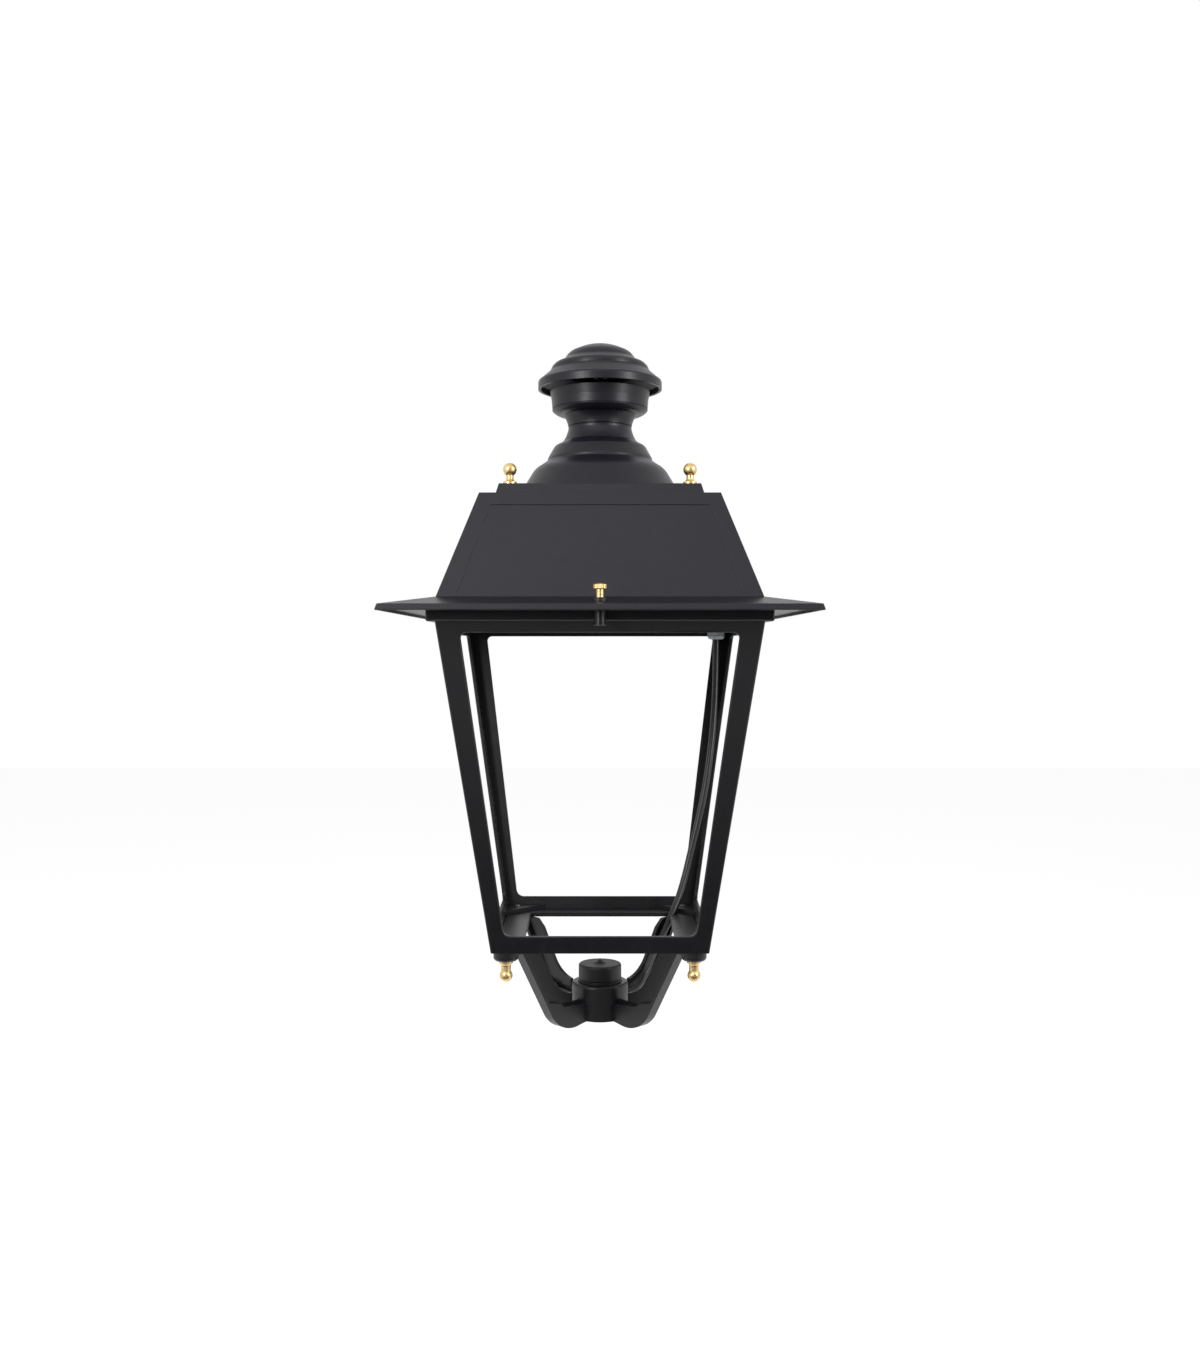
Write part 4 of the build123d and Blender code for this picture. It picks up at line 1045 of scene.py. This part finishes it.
@dataclass
class Cables:
    """The supply cable from the hub to the terminals, the light unit's lead, and the gland's dome nut."""

    finishes: Finishes
    gland_at: float = 139.7
    gland_r: float = 10.35
    gland_low_z: float = 415.0
    gland_high_z: float = 426.7
    cable_r: float = 3.9
    lead_r: float = 1.7
    supply_route: tuple[Spot, ...] = (
        (100.0, 71.5, 446.0), (100.0, 90.0, 446.5), (103.0, 106.5, 453.0), (111.5, 120.0, 464.5),
        (123.5, 131.5, 471.0), (135.0, 138.4, 467.0), (139.7, 139.7, 452.0), (139.75, 139.75, 414.0),
        (139.3, 137.5, 374.0), (137.1, 128.5, 334.3), (132.4, 115.5, 291.2), (124.8, 107.0, 242.0),
        (116.0, 102.8, 202.6), (107.0, 99.2, 167.7), (99.2, 92.4, 137.0), (88.6, 79.8, 106.7),
        (71.2, 61.4, 75.1), (59.3, 49.6, 55.3), (49.2, 38.4, 31.0), (35.0, 13.2, 20.0), (13.5, 5.0, 19.5),
    )
    lead_route: tuple[Spot, ...] = (
        (-84.0, 42.0, 442.0), (-79.5, 42.0, 442.0), (-74.5, 32.0, 438.8), (-60.0, 32.0, 438.8),
    )

    def sheath(self, name: str, node: str, route: Sequence[Spot], r: float) -> bpy.types.Object:
        """Lays a round cable along a smooth line.

        Args:
            name: The piece's name.
            node: The CAD node that it stands for.
            route: Points that guide the line, in millimetres.
            r: The cable's radius.

        Returns:
            The cable, as a closed mesh.
        """
        line = bpy.data.curves.new(name, "CURVE")
        line.dimensions = "3D"
        line.bevel_depth = r * MM
        line.bevel_resolution = 6
        line.resolution_u = 10
        line.use_fill_caps = True
        spline = line.splines.new("NURBS")
        spline.points.add(len(route) - 1)
        for point, at in zip(spline.points, route):
            point.co = (*(c * MM for c in at), 1.0)
        spline.order_u = 3
        spline.use_endpoint_u = True
        guide = bpy.data.objects.new(name + "_line", line)
        bpy.context.scene.collection.objects.link(guide)
        graph = bpy.context.evaluated_depsgraph_get()
        mesh = bpy.data.meshes.new_from_object(guide.evaluated_get(graph), depsgraph=graph)
        bpy.data.objects.remove(guide)
        mesh.name = name
        mesh.shade_smooth()
        mesh.materials.clear()
        mesh.materials.append(self.finishes.sheath)
        obj = baked(new_object(name, mesh))
        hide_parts(node)
        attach(obj, "frame")
        LOG.info("%s: %d faces", name, len(obj.data.polygons))
        return obj

    def dome_nut(self) -> Turned:
        """Returns the gland's nut: grooved for a grip, with a rounded foot."""
        r, low, high = self.gland_r, self.gland_low_z, self.gland_high_z
        outline = Outline(
            (4.2, low),
            (
                (r - 4, low), ((r - 1.2, low + 1.3), (r, low + 5)), (r, high - 3), (r, high - 0.5), (r, high),
                (6.55, high), (6.55, low + 2.8), (4.2, low + 2.8), (4.2, low),
            ),
            Corner.MOULDED,
        )
        return Turned(
            "gland_dome_nut_turned", outline, self.finishes.gland, ("gland_dome_nut",), "frame",
            "gland_plastic", sides=144, place=(self.gland_at, self.gland_at, 0.0),
            flutes=Flutes(12, 0.8, low + 4.8, high - 0.6),
        )

    def build(self, lathe: Lathe) -> None:
        """Makes the cable, the lead and the dome nut.

        Args:
            lathe: The tree for turned pieces.
        """
        self.sheath("supply_cable_sheath", "supply_cable", self.supply_route, self.cable_r)
        self.sheath("led_lead_sheath", "led_lead", self.lead_route, self.lead_r)
        self.dome_nut().build(lathe)


# ---- studio ----
@dataclass
class Studio:
    """Pale floor, white backdrop, soft lamps, and a camera at the photograph's height and distance."""

    distance: float = 1.474
    eye_z: float = 0.400
    lens: float = 35.16
    horizon_shift: float = -0.0248
    world_light: float = 0.18
    floor_z: float = -0.42
    floor_y: float = 2.0
    floor_half: float = 6.0
    floor_glow: float = 0.82
    flag_y: float = -2.3
    flag_half: float = 2.6
    flag_low_z: float = -0.1
    flag_split_z: float = 0.75
    flag_top_z: float = 1.6
    low_flag_grey: float = 0.08
    high_flag_grey: float = 0.45
    floor_flag_lift: float = 0.02
    floor_flag_half: float = 1.4
    floor_flag_near: float = -0.35
    floor_flag_far: float = -1.9
    floor_flag_grey: float = 0.03

    def seen_white(self, tree: bpy.types.NodeTree) -> bpy.types.NodeSocket:
        """Finds the rays that show the backdrop.

        Args:
            tree: A world's or a material's tree.

        Returns:
            1 for camera, glossy and transmission rays, and 0 for the light on the object.
        """
        path = add_node(tree, "ShaderNodeLightPath").outputs
        shown = add_node(
            tree, "ShaderNodeMath", {"operation": "MAXIMUM"},
            links={0: path["Is Camera Ray"], 1: path["Is Glossy Ray"]},
        ).outputs[0]
        return add_node(
            tree, "ShaderNodeMath", {"operation": "MAXIMUM"}, links={0: shown, 1: path["Is Transmission Ray"]}
        ).outputs[0]

    def world(self) -> None:
        """Makes the white surroundings, which light the object only softly."""
        world = bpy.data.worlds.new("studio_white")
        bpy.context.scene.world = world
        world.use_nodes = True
        tree = world.node_tree
        tree.nodes.clear()
        strength = add_node(
            tree, "ShaderNodeMapRange", values={"To Min": self.world_light, "To Max": 1.0},
            links={"Value": self.seen_white(tree)},
        ).outputs["Result"]
        light = add_node(
            tree, "ShaderNodeBackground", values={"Color": linear("#ffffff")}, links={"Strength": strength}
        )
        add_node(tree, "ShaderNodeOutputWorld", links={"Surface": light.outputs[0]})

    def floor(self) -> None:
        """Lays a pale floor that keeps the object's shadow and is otherwise as white as the backdrop."""
        data = bpy.data.materials.new("pale_floor")
        data.use_nodes = True
        tree = data.node_tree
        tree.nodes.clear()
        matt = add_node(tree, "ShaderNodeBsdfDiffuse", values={"Color": linear("#e9e9e9")}).outputs[0]
        share = add_node(
            tree, "ShaderNodeMath", {"operation": "MULTIPLY"}, {1: self.floor_glow},
            {0: self.seen_white(tree)},
        ).outputs[0]
        glow = add_node(
            tree, "ShaderNodeEmission", values={"Color": linear("#ffffff")}, links={"Strength": share}
        ).outputs[0]
        both = add_node(tree, "ShaderNodeAddShader", links={0: matt, 1: glow}).outputs[0]
        add_node(tree, "ShaderNodeOutputMaterial", links={"Surface": both})
        shape = bmesh.new()
        bmesh.ops.create_grid(shape, x_segments=12, y_segments=12, size=self.floor_half)
        bmesh.ops.translate(shape, verts=shape.verts, vec=(0.0, self.floor_y, self.floor_z))
        mesh = bpy.data.meshes.new("floor")
        shape.to_mesh(mesh)
        shape.free()
        mesh.materials.append(data)
        new_object("floor", mesh)

    def lamp(self, name: str, at: Spot, aim: Spot, size: Point, watts: float) -> None:
        """Adds a soft box.

        Args:
            name: The lamp's name.
            at: Where it stands, in metres.
            aim: What it faces.
            size: Its width and height.
            watts: Its power.
        """
        light = bpy.data.lights.new(name, "AREA")
        light.shape = "RECTANGLE"
        light.size, light.size_y = size
        light.energy = watts
        obj = bpy.data.objects.new(name, light)
        obj.location = at
        obj.rotation_euler = (Vector(aim) - Vector(at)).to_track_quat("-Z", "Y").to_euler()
        bpy.context.scene.collection.objects.link(obj)

    def flag(self, name: str, corners: Sequence[Spot], grey: float) -> None:
        """Adds a dark cloth that only reflections see, which keeps the front of black paint dark.

        Args:
            name: The cloth's name.
            corners: Its corners in metres.
            grey: How bright it looks, from 0 to 1.
        """
        data = bpy.data.materials.new(name)
        data.use_nodes = True
        tree = data.node_tree
        tree.nodes.clear()
        cloth = add_node(tree, "ShaderNodeEmission", values={"Color": (grey, grey, grey, 1.0)})
        add_node(tree, "ShaderNodeOutputMaterial", links={"Surface": cloth.outputs[0]})
        mesh = bpy.data.meshes.new(name)
        mesh.from_pydata(corners, [], [tuple(range(len(corners)))])
        mesh.materials.append(data)
        obj = new_object(name, mesh)
        obj.visible_camera = obj.visible_transmission = obj.visible_shadow = obj.visible_diffuse = False

    def flags(self) -> None:
        """Hangs two cloths behind the camera and lays one on the floor before it."""
        wide, y = self.flag_half, self.flag_y
        for name, low, high, grey in (
            ("low_back_flag", self.flag_low_z, self.flag_split_z, self.low_flag_grey),
            ("high_back_flag", self.flag_split_z, self.flag_top_z, self.high_flag_grey),
        ):
            self.flag(name, ((-wide, y, low), (wide, y, low), (wide, y, high), (-wide, y, high)), grey)
        z, half = self.floor_z + self.floor_flag_lift, self.floor_flag_half
        near, far = self.floor_flag_near, self.floor_flag_far
        corners = ((-half, near, z), (half, near, z), (half, far, z), (-half, far, z))
        self.flag("floor_flag", corners, self.floor_flag_grey)

    def camera(self) -> None:
        """Sets the level camera, with the shift that puts the horizon where the photograph has it."""
        data = bpy.data.cameras.new("camera")
        data.sensor_width = 36.0
        data.lens = self.lens
        data.shift_y = self.horizon_shift
        data.clip_start, data.clip_end = 0.05, 50.0
        obj = bpy.data.objects.new("camera", data)
        obj.location = (0.0, -self.distance, self.eye_z)
        obj.rotation_euler = (math.pi / 2, 0.0, 0.0)
        bpy.context.scene.collection.objects.link(obj)
        bpy.context.scene.camera = obj

    def build(self) -> None:
        """Sets up everything that is not the object."""
        bpy.context.scene.view_settings.view_transform = "Standard"
        self.world()
        self.floor()
        self.flags()
        self.lamp("left_soft_box", (-1.15, -1.7, 1.0), (0.0, 0.0, 0.55), (0.4, 1.2), 26.0)
        self.lamp("right_soft_box", (1.6, -1.2, 1.0), (0.0, 0.0, 0.55), (0.35, 1.2), 21.0)
        self.lamp("top_soft_box", (-0.2, -1.7, 2.0), (0.0, 0.0, 0.5), (1.4, 0.7), 4.0)
        self.camera()


def main() -> None:
    """Builds the lantern's looks piece by piece, then the studio."""
    logging.basicConfig(level=logging.INFO, format="%(name)s %(message)s")
    bpy.ops.wm.read_factory_settings(use_empty=True)
    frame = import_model()
    finishes = Finishes()
    lathe = Lathe()
    Studio().build()
    Cage(frame, finishes).build()
    Yoke(frame, finishes).build(lathe)
    LightUnit(frame, finishes).build()
    Cables(finishes).build(lathe)
    Roof(frame, finishes).build()
    Chimney(frame, finishes).build(lathe)
    BallNuts(finishes).build(lathe)
    Latch(frame, finishes).build(lathe)


if __name__ == "__main__":
    main()
